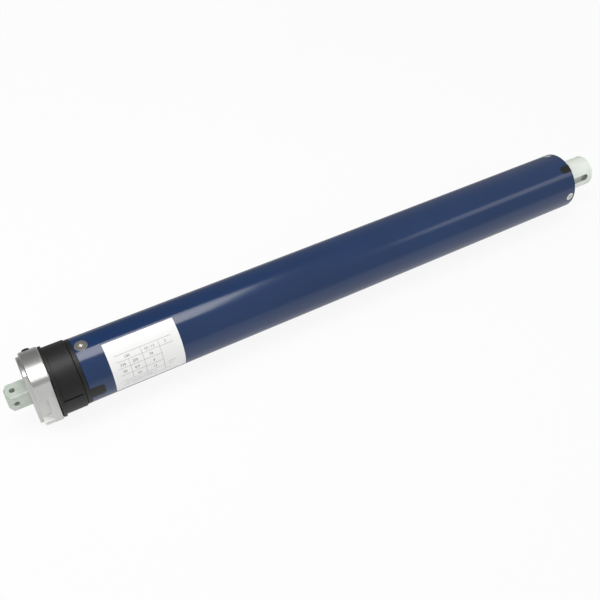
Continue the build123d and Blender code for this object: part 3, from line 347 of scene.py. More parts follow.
class Finishes:
    """Every finish of the motor, built once and handed out by name."""

    def __init__(self) -> None:
        """Builds the shared group and lists the finishes."""
        self.weathering = Weathering()
        self.made: dict[str, bpy.types.Material] = {}
        listed = (
            Finish("zinc_bar", "dbe0d8", "c8d5c7", "eaeee8", 0.52, spread=0.08, metallic=0.3, grain_size=0.9,
                   broad=260.0, scratches=0.5),
            Finish("head_aluminium", "e6e6e4", "dbdbd9", "f2f2f1", 0.33, metallic=0.95, grain_size=0.35,
                   relief=0.006, broad=60.0, scratches=0.25),
            Finish("cast_aluminium", "cfcfcd", "c4c4c2", "e9e9e8", 0.27, spread=0.06, metallic=0.95,
                   grain_size=0.35, relief=0.008, broad=60.0, scratches=0.25),
            Finish("black_plastic", "1e1e1e", "1a1a1a", "343434", 0.47, grain_size=0.25, relief=0.012,
                   broad=40.0, scratches=0.25),
            Finish("tube_paint", "143461", "12305b", "375180", 0.17, spread=0.02, grain_size=1.4,
                   relief=0.002, broad=12.0, scratches=0.06, mirror=0.82),
            Finish("screw_steel", "93908a", "86837c", "d3d1cc", 0.40, spread=0.08, metallic=0.6,
                   grain_size=0.5, broad=200.0, scratches=0.5),
            Finish("bright_steel", "ebeae7", "deddda", "f6f6f4", 0.30, spread=0.08, metallic=0.55,
                   grain_size=0.4, relief=0.006, broad=120.0, scratches=0.4),
            Finish("shaft_steel", "f8fcf6", "f0f8ee", "fbfcfa", 0.40, spread=0.07, grain=Grain.TURNED,
                   grain_size=0.35, relief=0.006, broad=60.0, scratches=0.35),
            Finish("button_rubber", "1d1d1d", "161616", "333333", 0.45, spread=0.06, relief=0.008),
            Finish("seal_rubber", "242424", "1b1b1b", "3a3a3a", 0.62),
            Finish("gear_plastic", "dcd5bd", "cfc7ac", "efeadb", 0.42, grain_size=0.4, relief=0.008),
            Finish("gear_steel", "8b8c8d", "777879", "b9babb", 0.38, spread=0.08, metallic=0.9,
                   grain=Grain.TURNED, grain_size=0.4, scratches=0.4),
            Finish("switch_plastic", "6a2a28", "5a2321", "8d5350", 0.48),
            Finish("spring_steel", "b5b5b2", "9f9f9c", "dededc", 0.26, spread=0.06, metallic=0.95,
                   grain=Grain.DRAWN, relief=0.006, scratches=0.3),
            Finish("terminal_plastic", "c3c7c3", "b5b9b5", "dcdedc", 0.5, grain_size=0.4),
            Finish("capacitor_case", "dedcd6", "d0cec8", "f0efeb", 0.4, grain_size=0.5, relief=0.008, broad=30.0),
            Finish("lamination", "7c7d80", "64656a", "a5a6a8", 0.42, spread=0.10, metallic=0.85,
                   grain=Grain.STACKED, grain_size=0.7, relief=0.05, broad=60.0, scratches=0.3),
            Finish("winding_copper", "b8683a", "9c5229", "d99a6c", 0.30, spread=0.08, metallic=0.9,
                   grain=Grain.WOUND, grain_size=0.9, relief=0.12, broad=60.0),
            Finish("brake_lining", "5b4f42", "4a4036", "7d7062", 0.8, spread=0.08, grain_size=0.8,
                   relief=0.05, broad=120.0, scratches=0.4),
            Finish("label_ink", "5d5f62", "54565a", "8c8d90", 0.5, grain_size=0.2, relief=0.002),
        )
        self.listed = {finish.name: finish for finish in listed}

    def get(self, name: str) -> bpy.types.Material:
        """Hands out a finish's material, which is built at its first use.

        Args:
            name: The finish's name.

        Returns:
            The material.
        """
        if name not in self.made:
            self.made[name] = self.listed[name].material(self.weathering)
        return self.made[name]

    def dress(self, nodes: dict[str, tuple[str, ...]]) -> None:
        """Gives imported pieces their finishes.

        Args:
            nodes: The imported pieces' names, by the finish's name.
        """
        for name, dressed in nodes.items():
            for node in dressed:
                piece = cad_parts[node]
                if not piece.material_slots:
                    piece.data.materials.append(self.get(name))
                for holder in piece.material_slots:
                    holder.material = self.get(name)
                log.info("%s: %s", node, name)


@dataclass(frozen=True)
class Hollow:
    """A box in which painted light and shade go into a piece's colour.

    Attributes:
        low: Its lowest corner, in metres, before the turn.
        high: Its highest corner, in metres, before the turn.
        turn: How far it is turned about the motor's axis, in degrees.
        color: The colour of the light and shade painted in it.
        metal: How metallic the surface is in it.
    """

    low: Triple
    high: Triple
    turn: float
    color: str
    metal: float = 0.0

    def tint(self, made: bpy.types.Material) -> None:
        """Paints light and shade into a material's colour inside the box.

        Args:
            made: The piece's material.
        """
        sheet = Sheet(made.node_tree)
        shader = made.node_tree.nodes["Principled BSDF"]
        turned = sheet.add("ShaderNodeMapping", {"Vector": sheet.add("ShaderNodeTexCoord").outputs["Object"],
                                                 "Rotation": (-radians(self.turn), 0.0, 0.0)})
        way = sheet.add("ShaderNodeSeparateXYZ", {"Vector": turned.outputs[0]})
        inside = 1.0
        for axis, low, high in zip("XYZ", self.low, self.high):
            inside = sheet.math("MULTIPLY", sheet.within(way.outputs[axis], low, high), inside)
        plain = shader.inputs["Base Color"].links[0].from_socket
        sheet.feed(shader.inputs["Base Color"], sheet.blend(inside, plain, tone(self.color)))
        metal = shader.inputs["Metallic"]
        plain = metal.links[0].from_socket if metal.is_linked else metal.default_value
        sheet.feed(metal, sheet.span(inside, 0.0, 1.0, plain, self.metal))


def put(name: str, data: bpy.types.ID) -> bpy.types.Object:
    """Makes an object and links it into the scene.

    Args:
        name: The object's name.
        data: Its mesh, curve, lamp or camera.

    Returns:
        The object.
    """
    made = bpy.data.objects.new(name, data)
    bpy.context.scene.collection.objects.link(made)
    return made


def lathe(profile: list[Pair], steps: int) -> bmesh.types.BMesh:
    """Turns a profile about Z into a closed shape.

    Args:
        profile: Radius and height of each point, from the bottom's middle to the top's middle.
        steps: How many sides the shape has.

    Returns:
        The shape, with its faces outwards.
    """
    shape = bmesh.new()
    rings = []
    for radius, height in profile:
        if radius == 0:
            rings.append([shape.verts.new((0, 0, height))])
            continue
        turns = [2 * pi * i / steps for i in range(steps)]
        rings.append([shape.verts.new((radius * cos(t), radius * sin(t), height)) for t in turns])
    for low, high in zip(rings, rings[1:]):
        for i in range(steps):
            j = (i + 1) % steps
            corners = [low[i % len(low)], low[j % len(low)], high[j % len(high)], high[i % len(high)]]
            shape.faces.new(list(dict.fromkeys(corners)))
    bmesh.ops.recalc_face_normals(shape, faces=shape.faces)
    return shape


def to_object(name: str, shape: bmesh.types.BMesh, material: bpy.types.Material | None = None) -> bpy.types.Object:
    """Makes an object of a shape, smooth but for its sharp edges.

    Args:
        name: The object's name.
        shape: The shape, which is used up.
        material: Its material.

    Returns:
        The object, linked into the scene.
    """
    mesh = bpy.data.meshes.new(name)
    shape.to_mesh(mesh)
    shape.free()
    if material:
        mesh.materials.append(material)
    mesh.shade_smooth()
    mesh.set_sharp_from_angle(angle=SMOOTH_UNDER)
    return put(name, mesh)


def settled(made: bpy.types.Object, name: str) -> bpy.types.Object:
    """Turns an object's evaluated shape into a plain mesh object and removes the old one.

    Args:
        made: The object with live modifiers.
        name: The name of the plain object.

    Returns:
        The plain object, at the origin.
    """
    bpy.context.view_layer.update()
    graph = bpy.context.evaluated_depsgraph_get()
    mesh = bpy.data.meshes.new_from_object(made.evaluated_get(graph), depsgraph=graph)
    mesh.name = name
    bpy.data.objects.remove(made)
    return put(name, mesh)


def hand_over(piece: bpy.types.Object, body: str, slot: str, *nodes: str) -> None:
    """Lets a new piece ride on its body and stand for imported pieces.

    Args:
        piece: The finished piece.
        body: The body that carries it.
        slot: The name of its finish, which is not used.
        *nodes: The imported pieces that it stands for.
    """
    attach(piece, body)
    if nodes:
        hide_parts(*nodes)
    log.info("%s: %d faces on %s", piece.name, len(piece.data.polygons), body)


class GeometryTree:
    """A Geometry Nodes tree with named inputs, which is run on an object and then settled."""

    def __init__(self, name: str, inputs: dict[str, str]) -> None:
        """Starts the tree.

        Args:
            name: The tree's name.
            inputs: The type of each named input after the geometry.
        """
        self.tree = bpy.data.node_groups.new(name, "GeometryNodeTree")
        self.tree.interface.new_socket(name="Geometry", in_out="INPUT", socket_type="NodeSocketGeometry")
        self.names = {}
        for label, kind in {**inputs, "Material": "NodeSocketMaterial"}.items():
            socket = self.tree.interface.new_socket(name=label, in_out="INPUT", socket_type=kind)
            self.names[label] = socket.identifier
        self.tree.interface.new_socket(name="Geometry", in_out="OUTPUT", socket_type="NodeSocketGeometry")
        self.sheet = Sheet(self.tree)
        self.entry = self.sheet.add("NodeGroupInput")

    def close(self, geometry: bpy.types.NodeSocket) -> None:
        """Ends the tree with Realize Instances and Set Material.

        Args:
            geometry: The socket of what the tree has made.
        """
        plain = self.sheet.add("GeometryNodeRealizeInstances", {"Geometry": geometry})
        dressed = self.sheet.add("GeometryNodeSetMaterial", {"Geometry": plain.outputs["Geometry"],
                                                             "Material": self.entry.outputs["Material"]})
        self.sheet.add("NodeGroupOutput", {"Geometry": dressed.outputs["Geometry"]})

    def run(self, made: bpy.types.Object, name: str, **values: object) -> bpy.types.Object:
        """Runs the tree on an object.

        Args:
            made: The object, which is used up.
            name: The name of the result.
            **values: The inputs by their names, with underscores for spaces.

        Returns:
            The plain result.
        """
        modifier = made.modifiers.new("tree", "NODES")
        modifier.node_group = self.tree
        for label, value in values.items():
            modifier[self.names[label.replace("_", " ")]] = value
        return settled(made, name)


class RingTree(GeometryTree):
    """Sets copies of a piece round the motor's axis, each turned outwards."""

    def __init__(self) -> None:
        """Builds the tree."""
        super().__init__("ring_of_pieces", {"Count": "NodeSocketInt", "Station": "NodeSocketFloat",
                                            "First Turn": "NodeSocketFloat", "Step": "NodeSocketFloat"})
        sheet, entry = self.sheet, self.entry
        index = sheet.add("GeometryNodeInputIndex").outputs[0]
        turn = sheet.math("ADD", entry.outputs["First Turn"], sheet.math("MULTIPLY", index, entry.outputs["Step"]))
        tilt = sheet.add("ShaderNodeCombineXYZ", {"X": sheet.math("SUBTRACT", turn, pi / 2)})
        place = sheet.add("ShaderNodeCombineXYZ", {"X": entry.outputs["Station"]})
        points = sheet.add("GeometryNodePoints", {"Count": entry.outputs["Count"], "Position": place.outputs[0]})
        copies = sheet.add("GeometryNodeInstanceOnPoints", {"Points": points.outputs[0],
                                                            "Instance": entry.outputs["Geometry"],
                                                            "Rotation": tilt.outputs[0]})
        self.close(copies.outputs[0])


class CoilTree(GeometryTree):
    """Winds a round wire into a coil along the motor's axis."""

    STEPS_PER_TURN = 32
    WIRE_SIDES = 10

    def __init__(self) -> None:
        """Builds the tree."""
        super().__init__("wire_coil", {"Turns": "NodeSocketFloat", "Coil Radius": "NodeSocketFloat",
                                       "Wire Radius": "NodeSocketFloat", "Length": "NodeSocketFloat",
                                       "Start": "NodeSocketFloat"})
        sheet, entry = self.sheet, self.entry
        line = sheet.add("GeometryNodeCurveSpiral", {"Resolution": self.STEPS_PER_TURN,
                                                     "Rotations": entry.outputs["Turns"],
                                                     "Start Radius": entry.outputs["Coil Radius"],
                                                     "End Radius": entry.outputs["Coil Radius"],
                                                     "Height": entry.outputs["Length"]})
        wire = sheet.add("GeometryNodeCurvePrimitiveCircle", {"Resolution": self.WIRE_SIDES,
                                                              "Radius": entry.outputs["Wire Radius"]})
        body = sheet.add("GeometryNodeCurveToMesh", {"Curve": line.outputs[0], "Profile Curve": wire.outputs[0],
                                                     "Fill Caps": True})
        place = sheet.add("ShaderNodeCombineXYZ", {"X": entry.outputs["Start"]})
        laid = sheet.add("GeometryNodeTransform", {"Geometry": body.outputs[0], "Translation": place.outputs[0],
                                                   "Rotation": (0.0, pi / 2, 0.0)})
        self.close(laid.outputs[0])


class Recess(Enum):
    """What drives a screw."""

    CROSS = "cross"
    HEXAGON = "hexagon"


@dataclass(frozen=True)
class TubeScrews:
    """A ring of countersunk screws in the tube's wall; sizes in metres and degrees."""

    node: str
    station: float
    count: int
    first_turn: float
    step: float
    head_radius: float
    shank_radius: float
    foot: float
    dome: float
    recess: Recess
    recess_radius: float
    recess_depth: float
    finish: str
    # The colour painted into each recess: a painted white glint in the cross recesses at the head end, painted
    # grey shade in the hexagon recesses at the far end.
    recess_painted_glint_and_shade: str
    head_top: float = 29.0 * MM
    tip_share: float = 0.8
    tip_chamfer: float = 0.3 * MM
    dome_steps: int = 6
    sides: int = 48
    sharp_from: float = 30.0
    hexagon_sides: int = 6
    hexagon_floor: float = 0.9
    hexagon_point: float = 0.5
    arm_width: float = 0.22
    arm_foot: float = 0.45
    arm_narrow: float = 0.8
    arm_wide: float = 1.15
    tint_share: float = 0.6

    def head(self) -> bmesh.types.BMesh:
        """Turns the screw without its recess, standing on Z at its distance from the axis.

        Returns:
            The screw's shape.
        """
        cone = self.head_top - (self.head_radius - self.shank_radius)
        profile = [(0.0, self.foot), (self.shank_radius * self.tip_share, self.foot),
                   (self.shank_radius, self.foot + self.tip_chamfer), (self.shank_radius, cone),
                   (self.head_radius, self.head_top)]
        for i in range(1, self.dome_steps):
            turn = i / self.dome_steps * pi / 2
            profile.append((self.head_radius * cos(turn), self.head_top + self.dome * sin(turn)))
        profile.append((0.0, self.head_top + self.dome))
        return lathe(profile, self.sides)

    def cutter(self) -> bmesh.types.BMesh:
        """Makes the shape that cuts the recess.

        Returns:
            The cutting shape.
        """
        top = self.head_top + self.dome + MM
        floor = self.head_top + self.dome - self.recess_depth
        if self.recess is Recess.HEXAGON:
            return lathe([(0.0, floor - self.hexagon_point * self.recess_depth),
                          (self.recess_radius * self.hexagon_floor, floor), (self.recess_radius, floor),
                          (self.recess_radius, top), (0.0, top)], self.hexagon_sides)
        shape = bmesh.new()
        width = self.arm_width * self.recess_radius
        for turn in (0, pi / 2):
            made = bmesh.ops.create_cube(shape, size=1.0)
            for corner in made["verts"]:
                high = corner.co.z > 0
                reach = self.recess_radius if high else self.arm_foot * self.recess_radius
                side = width * (self.arm_wide if high else self.arm_narrow)
                corner.co = Vector((2 * reach * corner.co.x, 2 * side * corner.co.y, top if high else floor))
            bmesh.ops.rotate(shape, verts=made["verts"], matrix=Matrix.Rotation(turn, 3, "Z"))
        bmesh.ops.recalc_face_normals(shape, faces=shape.faces)
        return shape

    def build(self, ring: RingTree, finishes: Finishes) -> None:
        """Cuts the recess, sets the screws round the tube and hands them over.

        Args:
            ring: The tree that sets them round.
            finishes: The motor's finishes.
        """
        screw = to_object(f"{self.node}_head", self.head())
        tool = to_object(f"{self.node}_tool", self.cutter())
        cut = screw.modifiers.new("recess", "BOOLEAN")
        cut.object, cut.operation, cut.solver, cut.use_self = tool, "DIFFERENCE", "EXACT", True
        screw = settled(screw, f"{self.node}_cut")
        bpy.data.objects.remove(tool)
        piece = ring.run(screw, f"{self.node}_detailed", Count=self.count, Station=self.station,
                         First_Turn=radians(self.first_turn), Step=radians(self.step),
                         Material=finishes.get(self.finish))
        piece.data.shade_smooth()
        piece.data.set_sharp_from_angle(angle=radians(self.sharp_from))
        hand_over(piece, "motor_body", self.finish, self.node)
        # Paint the recesses' glint and shade into the screws' colour.
        self.paint_recess_glint_and_shade(finishes.get(self.finish))

    def paint_recess_glint_and_shade(self, made: bpy.types.Material) -> None:
        """Paints the ring's glint and shade colour into the screws' recesses.

        Args:
            made: The screws' material.
        """
        reach, top = self.recess_radius, self.head_top + self.tint_share * self.dome
        for number in range(self.count):
            Hollow((self.station - reach, top - self.recess_depth, -reach), (self.station + reach, top, reach),
                   self.first_turn + number * self.step, self.recess_painted_glint_and_shade).tint(made)


@dataclass
class DriveHead:
    """The head with its fixing bar, limit buttons, cable grommet and screws."""

    button_station: float = 10.0 * MM
    button_turn: float = 43.0
    button_radius: float = 3.5 * MM
    button_top: float = 34.7 * MM
    button_shoulder: float = 33.2 * MM
    flange_radius: float = 4.6 * MM
    flange_bottom: float = 28.2 * MM
    flange_top: float = 29.7 * MM
    stem_radius: float = 2.0 * MM
    stem_bottom: float = 25.2 * MM
    dome_steps: int = 10
    button_sides: int = 40
    pocket_end: float = 11.0 * MM
    pocket_depth: float = 7.0 * MM
    pocket_low: float = -19.85 * MM
    pocket_high: float = 3.65 * MM
    pocket_split: float = -2.0 * MM
    pocket_rim: float = 0.12 * MM
    # The pocket's colours are painted light on its lower part and painted shade on its upper part.
    pocket_painted_light: str = "fafaf8"
    pocket_painted_shade: str = "a3a3a1"

    def button_profile(self) -> list[Pair]:
        """Draws the button's half section, from its stem to the top of its dome.

        Returns:
            Radius and height of each point.
        """
        profile = [(0.0, self.stem_bottom), (self.stem_radius, self.stem_bottom),
                   (self.stem_radius, self.flange_bottom), (self.flange_radius, self.flange_bottom),
                   (self.flange_radius, self.flange_top), (self.button_radius, self.flange_top)]
        rise = self.button_top - self.button_shoulder
        for i in range(self.dome_steps):
            turn = pi / 2 * i / self.dome_steps
            profile.append((self.button_radius * cos(turn), self.button_shoulder + rise * sin(turn)))
        profile.append((0.0, self.button_top))
        return profile

    def pocket(self) -> list[Hollow]:
        """Finds the pocket in the casting's front flat, and the light and shade painted into its colour.

        Returns:
            Its lower part, painted white as lit, and its upper part, painted grey as shaded.
        """
        flat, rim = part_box("head_casting")[0].y, self.pocket_rim
        near, far = flat + rim, flat + self.pocket_depth + rim
        levels = (self.pocket_low - rim, self.pocket_split, self.pocket_high + rim)
        return [Hollow((-rim, near, low), (self.pocket_end + rim, far, high), 0.0, color)
                for low, high, color in zip(levels, levels[1:], (self.pocket_painted_light, self.pocket_painted_shade))]

    def build(self, ring: RingTree, finishes: Finishes) -> None:
        """Builds the domed buttons and dresses the head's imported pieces.

        Args:
            ring: The tree that sets pieces round the axis.
            finishes: The motor's finishes.
        """
        for side, turn in (("upper", self.button_turn), ("lower", -self.button_turn)):
            dome = to_object(f"button_{side}_blank", lathe(self.button_profile(), self.button_sides))
            piece = ring.run(dome, f"limit_button_{side}_dome", Count=1, Station=self.button_station,
                             First_Turn=radians(turn), Step=0.0, Material=finishes.get("button_rubber"))
            hand_over(piece, f"button_{side}", "button_rubber", f"limit_button_{side}")
        finishes.dress({
            "zinc_bar": ("fixing_shaft",),
            "bright_steel": ("bar_washer", "bar_nut", "head_screws"),
            "head_aluminium": ("head_casting",),
            "seal_rubber": ("cable_grommet",),
        })
        # Paint the pocket's light and shade into the casting's colour.
        for part in self.pocket():
            part.tint(finishes.get("head_aluminium"))


@dataclass
class LimitUnit:
    """The crown ring and the limit counter, switches and terminals in their housing."""

    def build(self, finishes: Finishes) -> None:
        """Dresses the unit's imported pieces.

        Args:
            finishes: The motor's finishes.
        """
        finishes.dress({
            "black_plastic": ("crown_ring", "limit_housing", "limit_end_plate"),
            "gear_plastic": ("counter_pinion", "counter_idler", "counter_layshaft", "cam_wheel_up",
                             "cam_wheel_down"),
            "bright_steel": ("cam_spindle",),
            "switch_plastic": ("limit_switches",),
            "spring_steel": ("switch_lever_up", "switch_lever_down"),
            "terminal_plastic": ("terminal_block",),
        })


@dataclass(frozen=True)
class Rule:
    """A printed line of the label's table, in millimetres: its place across, its two ends and its width."""

    upright: bool
    place: float
    start: float
    end: float
    width: float = 0.34


@dataclass
class RatingLabel:
    """The label: a bent film with a ruled table of plain numbers.

    Sizes are in millimetres and degrees; u runs along the tube, and v up round it from the table's first rule.
    """

    start: float = 67.0
    length: float = 64.5
    radius: float = 29.5
    thickness: float = 0.12
    top_turn: float = 105.0
    bottom_turn: float = 206.5
    zero_turn: float = 131.5
    steps: int = 48
    print_height: float = 1.0
    figure_size: float = 3.4
    figure_depth: float = 0.02
    figure_steps: int = 3
    grain_scale: float = 2500.0
    broad_scale: float = 25.0
    scratches: float = 0.12
    relief: float = 0.004
    roughness: Pair = (0.34, 0.44)
    stroke_scales: Pair = (2.4, 1.1)
    stroke_band: Pair = (0.47, 0.53)
    paper: str = "fafaf9"
    paper_patch: str = "f4f4f3"
    rule_grey: str = "8a8c8f"
    rule_share: float = 0.85
    print_grey: str = "68696b"
    print_share: float = 0.6
    scratch_grey: str = "c9c9c6"

    def arc(self, degrees_up: float) -> float:
        """Returns the arc from the table's first rule, in millimetres."""
        return radians(degrees_up) * self.radius

    def turn_at(self, v: float) -> float:
        """Returns the turn in radians of a height v on the label."""
        return radians(self.zero_turn) - v / self.radius

    def v_range(self) -> Pair:
        """Returns the lowest and the highest v of the film."""
        return (self.arc(self.zero_turn - self.bottom_turn), self.arc(self.zero_turn - self.top_turn))

    def rules(self) -> list[Rule]:
        """Lays out the table.

        Returns:
            Its lines, rows first.
        """
        # A row is its degrees up and its two ends along the tube, a column its place and its ends in degrees up.
        rows = [(0.0, 6.0, 57.5), (-11.5, 6.0, 57.5), (-23.5, 6.0, 45.0), (-36.5, 6.0, 45.0), (-49.5, 6.0, 45.0),
                (-61.0, 6.0, 51.0)]
        columns = [(16.5, -11.5, -49.5), (29.0, 0.0, -49.5), (45.0, 0.0, -61.0)]
        listed = [Rule(False, self.arc(up), a, b) for up, a, b in rows]
        return listed + [Rule(True, u, self.arc(b), self.arc(a)) for u, a, b in columns]

    def words(self) -> list[tuple[float, float, float, float]]:
        """Returns the fields with small print that can't be read: u from and to, middle v and height."""
        # Each field is its two ends along the tube and its middle in degrees up.
        fields = [(9.0, 38.0, -54.0), (9.0, 33.0, -57.6), (48.5, 55.5, -45.0), (48.5, 53.0, -49.5)]
        return [(a, b, self.arc(up), self.print_height) for a, b, up in fields]

    def numbers(self) -> list[tuple[str, float, float]]:
        """Returns the plain numbers of the table: text, u and degrees up."""
        rows = {-8.4: (("100", 13.5), ("10 / 15", 31.5), ("2", 50.0)),
                -20.2: (("230", 8.0), ("200", 19.0), ("59", 34.5)),
                -32.7: (("50", 9.0), ("0.9", 19.5), ("4", 36.0)), -45.7: (("44", 20.5), ("12", 35.0))}
        return [(text, u, up) for up, row in rows.items() for text, u in row]

    def film(self) -> bmesh.types.BMesh:
        """Bends the film.

        Returns:
            A closed sheet with its own map of u and v.
        """
        shape = bmesh.new()
        chart = shape.loops.layers.uv.new("label")
        low, high = self.v_range()
        near, far, outer = self.start, self.start + self.length, self.radius + self.thickness
        section = ((near, self.radius), (far, self.radius), (far, outer), (near, outer))
        rings = []
        for i in range(self.steps + 1):
            turn = self.turn_at(low + (high - low) * i / self.steps)
            rings.append([shape.verts.new((x * MM, r * cos(turn) * MM, r * sin(turn) * MM)) for x, r in section])
        for i, (ring, after) in enumerate(zip(rings, rings[1:])):
            for side in range(len(section)):
                face = shape.faces.new((ring[side], ring[side - 1], after[side - 1], after[side]))
            # The last of the four faces is the outer one, which carries the print.
            for loop, u, up in zip(face.loops, (0.0, 1.0, 1.0, 0.0), (i, i, i + 1, i + 1)):
                loop[chart].uv = (u, up / self.steps)
        for ring in (rings[0], rings[-1]):
            shape.faces.new(ring)
        bmesh.ops.recalc_face_normals(shape, faces=shape.faces)
        return shape

    def material(self, weathering: Weathering) -> bpy.types.Material:
        """Builds the printed film.

        Args:
            weathering: The shared group.

        Returns:
            The label's material.
        """
        made, sheet, shader = start_material("label_white")
        low, high = self.v_range()
        chart = sheet.add("ShaderNodeUVMap", uv_map="label").outputs[0]
        parts = sheet.add("ShaderNodeSeparateXYZ", {"Vector": chart})
        u = sheet.math("MULTIPLY", parts.outputs["X"], self.length)
        v = sheet.math("MULTIPLY_ADD", parts.outputs["Y"], high - low, low)
        marks = []
        for rule in self.rules():
            across, along = (u, v) if rule.upright else (v, u)
            line = sheet.math("COMPARE", across, rule.place, rule.width / 2)
            marks.append(sheet.math("MULTIPLY", line, sheet.within(along, rule.start, rule.end)))
        table = sheet.largest(marks)
        place = sheet.add("ShaderNodeCombineXYZ", {"X": sheet.math("MULTIPLY", u, self.stroke_scales[0]),
                                                   "Y": sheet.math("MULTIPLY", v, self.stroke_scales[1])})
        strokes = sheet.span(sheet.noise(place.outputs[0], detail=3.0, roughness=0.8), *self.stroke_band)
        fields = []
        for start, end, middle, height in self.words():
            row = sheet.math("COMPARE", v, middle, height / 2)
            fields.append(sheet.math("MULTIPLY", row, sheet.within(u, start, end)))
        print_mask = sheet.math("MULTIPLY", sheet.largest(fields), strokes)
        wear = weathering.place(sheet, shader, (self.grain_scale,) * 3, self.broad_scale, self.scratches,
                                self.relief)
        film = sheet.blend(wear.outputs["Broad"], tone(self.paper), tone(self.paper_patch))
        film = sheet.blend(sheet.math("MULTIPLY", table, self.rule_share), film, tone(self.rule_grey))
        film = sheet.blend(sheet.math("MULTIPLY", print_mask, self.print_share), film, tone(self.print_grey))
        film = sheet.blend(wear.outputs["Scratches"], film, tone(self.scratch_grey))
        sheet.feed(shader.inputs["Base Color"], film)
        rough = sheet.span(wear.outputs["Grain"], *GRAIN_BAND, *self.roughness)
        sheet.feed(shader.inputs["Roughness"], rough)
        return made

    def bend(self, point: Vector, u: float, v: float) -> Vector:
        """Bends a point of a flat number onto the label.

        Args:
            point: The point, with z as its height over the film.
            u: Where the number starts along the tube, in millimetres.
            v: Where its foot stands, in millimetres.

        Returns:
            The point in the row's frame, in metres.
        """
        turn = self.turn_at(v + point.y)
        radius = self.radius + self.thickness + self.figure_depth + point.z
        return Vector((self.start + u + point.x, radius * cos(turn), radius * sin(turn))) * MM

    def figures(self) -> bmesh.types.BMesh:
        """Makes the printed numbers.

        Returns:
            The numbers as thin solids bent onto the film.
        """
        shape = bmesh.new()
        for text, u, up in self.numbers():
            curve = bpy.data.curves.new("number", "FONT")
            curve.body, curve.size, curve.extrude = text, self.figure_size, self.figure_depth
            curve.resolution_u = self.figure_steps
            flat = settled(put("number", curve), "number_flat")
            known = len(shape.verts)
            shape.from_mesh(flat.data)
            shape.verts.ensure_lookup_table()
            for corner in shape.verts[known:]:
                corner.co = self.bend(corner.co, u, self.arc(up))
            bpy.data.objects.remove(flat)
            bpy.data.curves.remove(curve)
        bmesh.ops.remove_doubles(shape, verts=shape.verts, dist=MERGE_UNDER)
        bmesh.ops.recalc_face_normals(shape, faces=shape.faces)
        return shape

    def build(self, finishes: Finishes) -> None:
        """Builds the film and its numbers and hands them over.

        Args:
            finishes: The motor's finishes.
        """
        film = to_object("rating_label_film", self.film(), self.material(finishes.weathering))
        hand_over(film, "motor_body", "label_white", "rating_label")
        numbers = to_object("rating_label_numbers", self.figures(), finishes.get("label_ink"))
        hand_over(numbers, "motor_body", "label_white")


@dataclass
class MotorTube:
    """The painted tube with its label and the rings of screws at its head end and its far end."""

    screws: tuple[TubeScrews, ...] = (
        # The head ring's cross recesses get a painted white glint.
        TubeScrews("head_tube_screws", station=51.9 * MM, count=2, first_turn=90.0, step=180.0,
                   head_radius=5.8 * MM, shank_radius=2.5 * MM, foot=16.1 * MM, dome=0.25 * MM,
                   recess=Recess.CROSS, recess_radius=2.6 * MM, recess_depth=1.1 * MM, finish="screw_steel",
                   recess_painted_glint_and_shade="fafaf8"),
        # The far ring's hexagon recesses get a painted grey shade.
        TubeScrews("gearbox_tube_screws", station=581.4 * MM, count=3, first_turn=-60.0, step=120.0,
                   head_radius=4.5 * MM, shank_radius=2.0 * MM, foot=18.0 * MM, dome=0.2 * MM,
                   recess=Recess.HEXAGON, recess_radius=1.7 * MM, recess_depth=0.5 * MM, finish="bright_steel",
                   recess_painted_glint_and_shade="c9cac8"),
    )

    def build(self, ring: RingTree, finishes: Finishes) -> None:
        """Dresses the tube and builds its label and its screws.

        Args:
            ring: The tree that sets pieces round the axis.
            finishes: The motor's finishes.
        """
        finishes.dress({"tube_paint": ("tube",)})
        RatingLabel().build(finishes)
        for screws in self.screws:
            screws.build(ring, finishes)


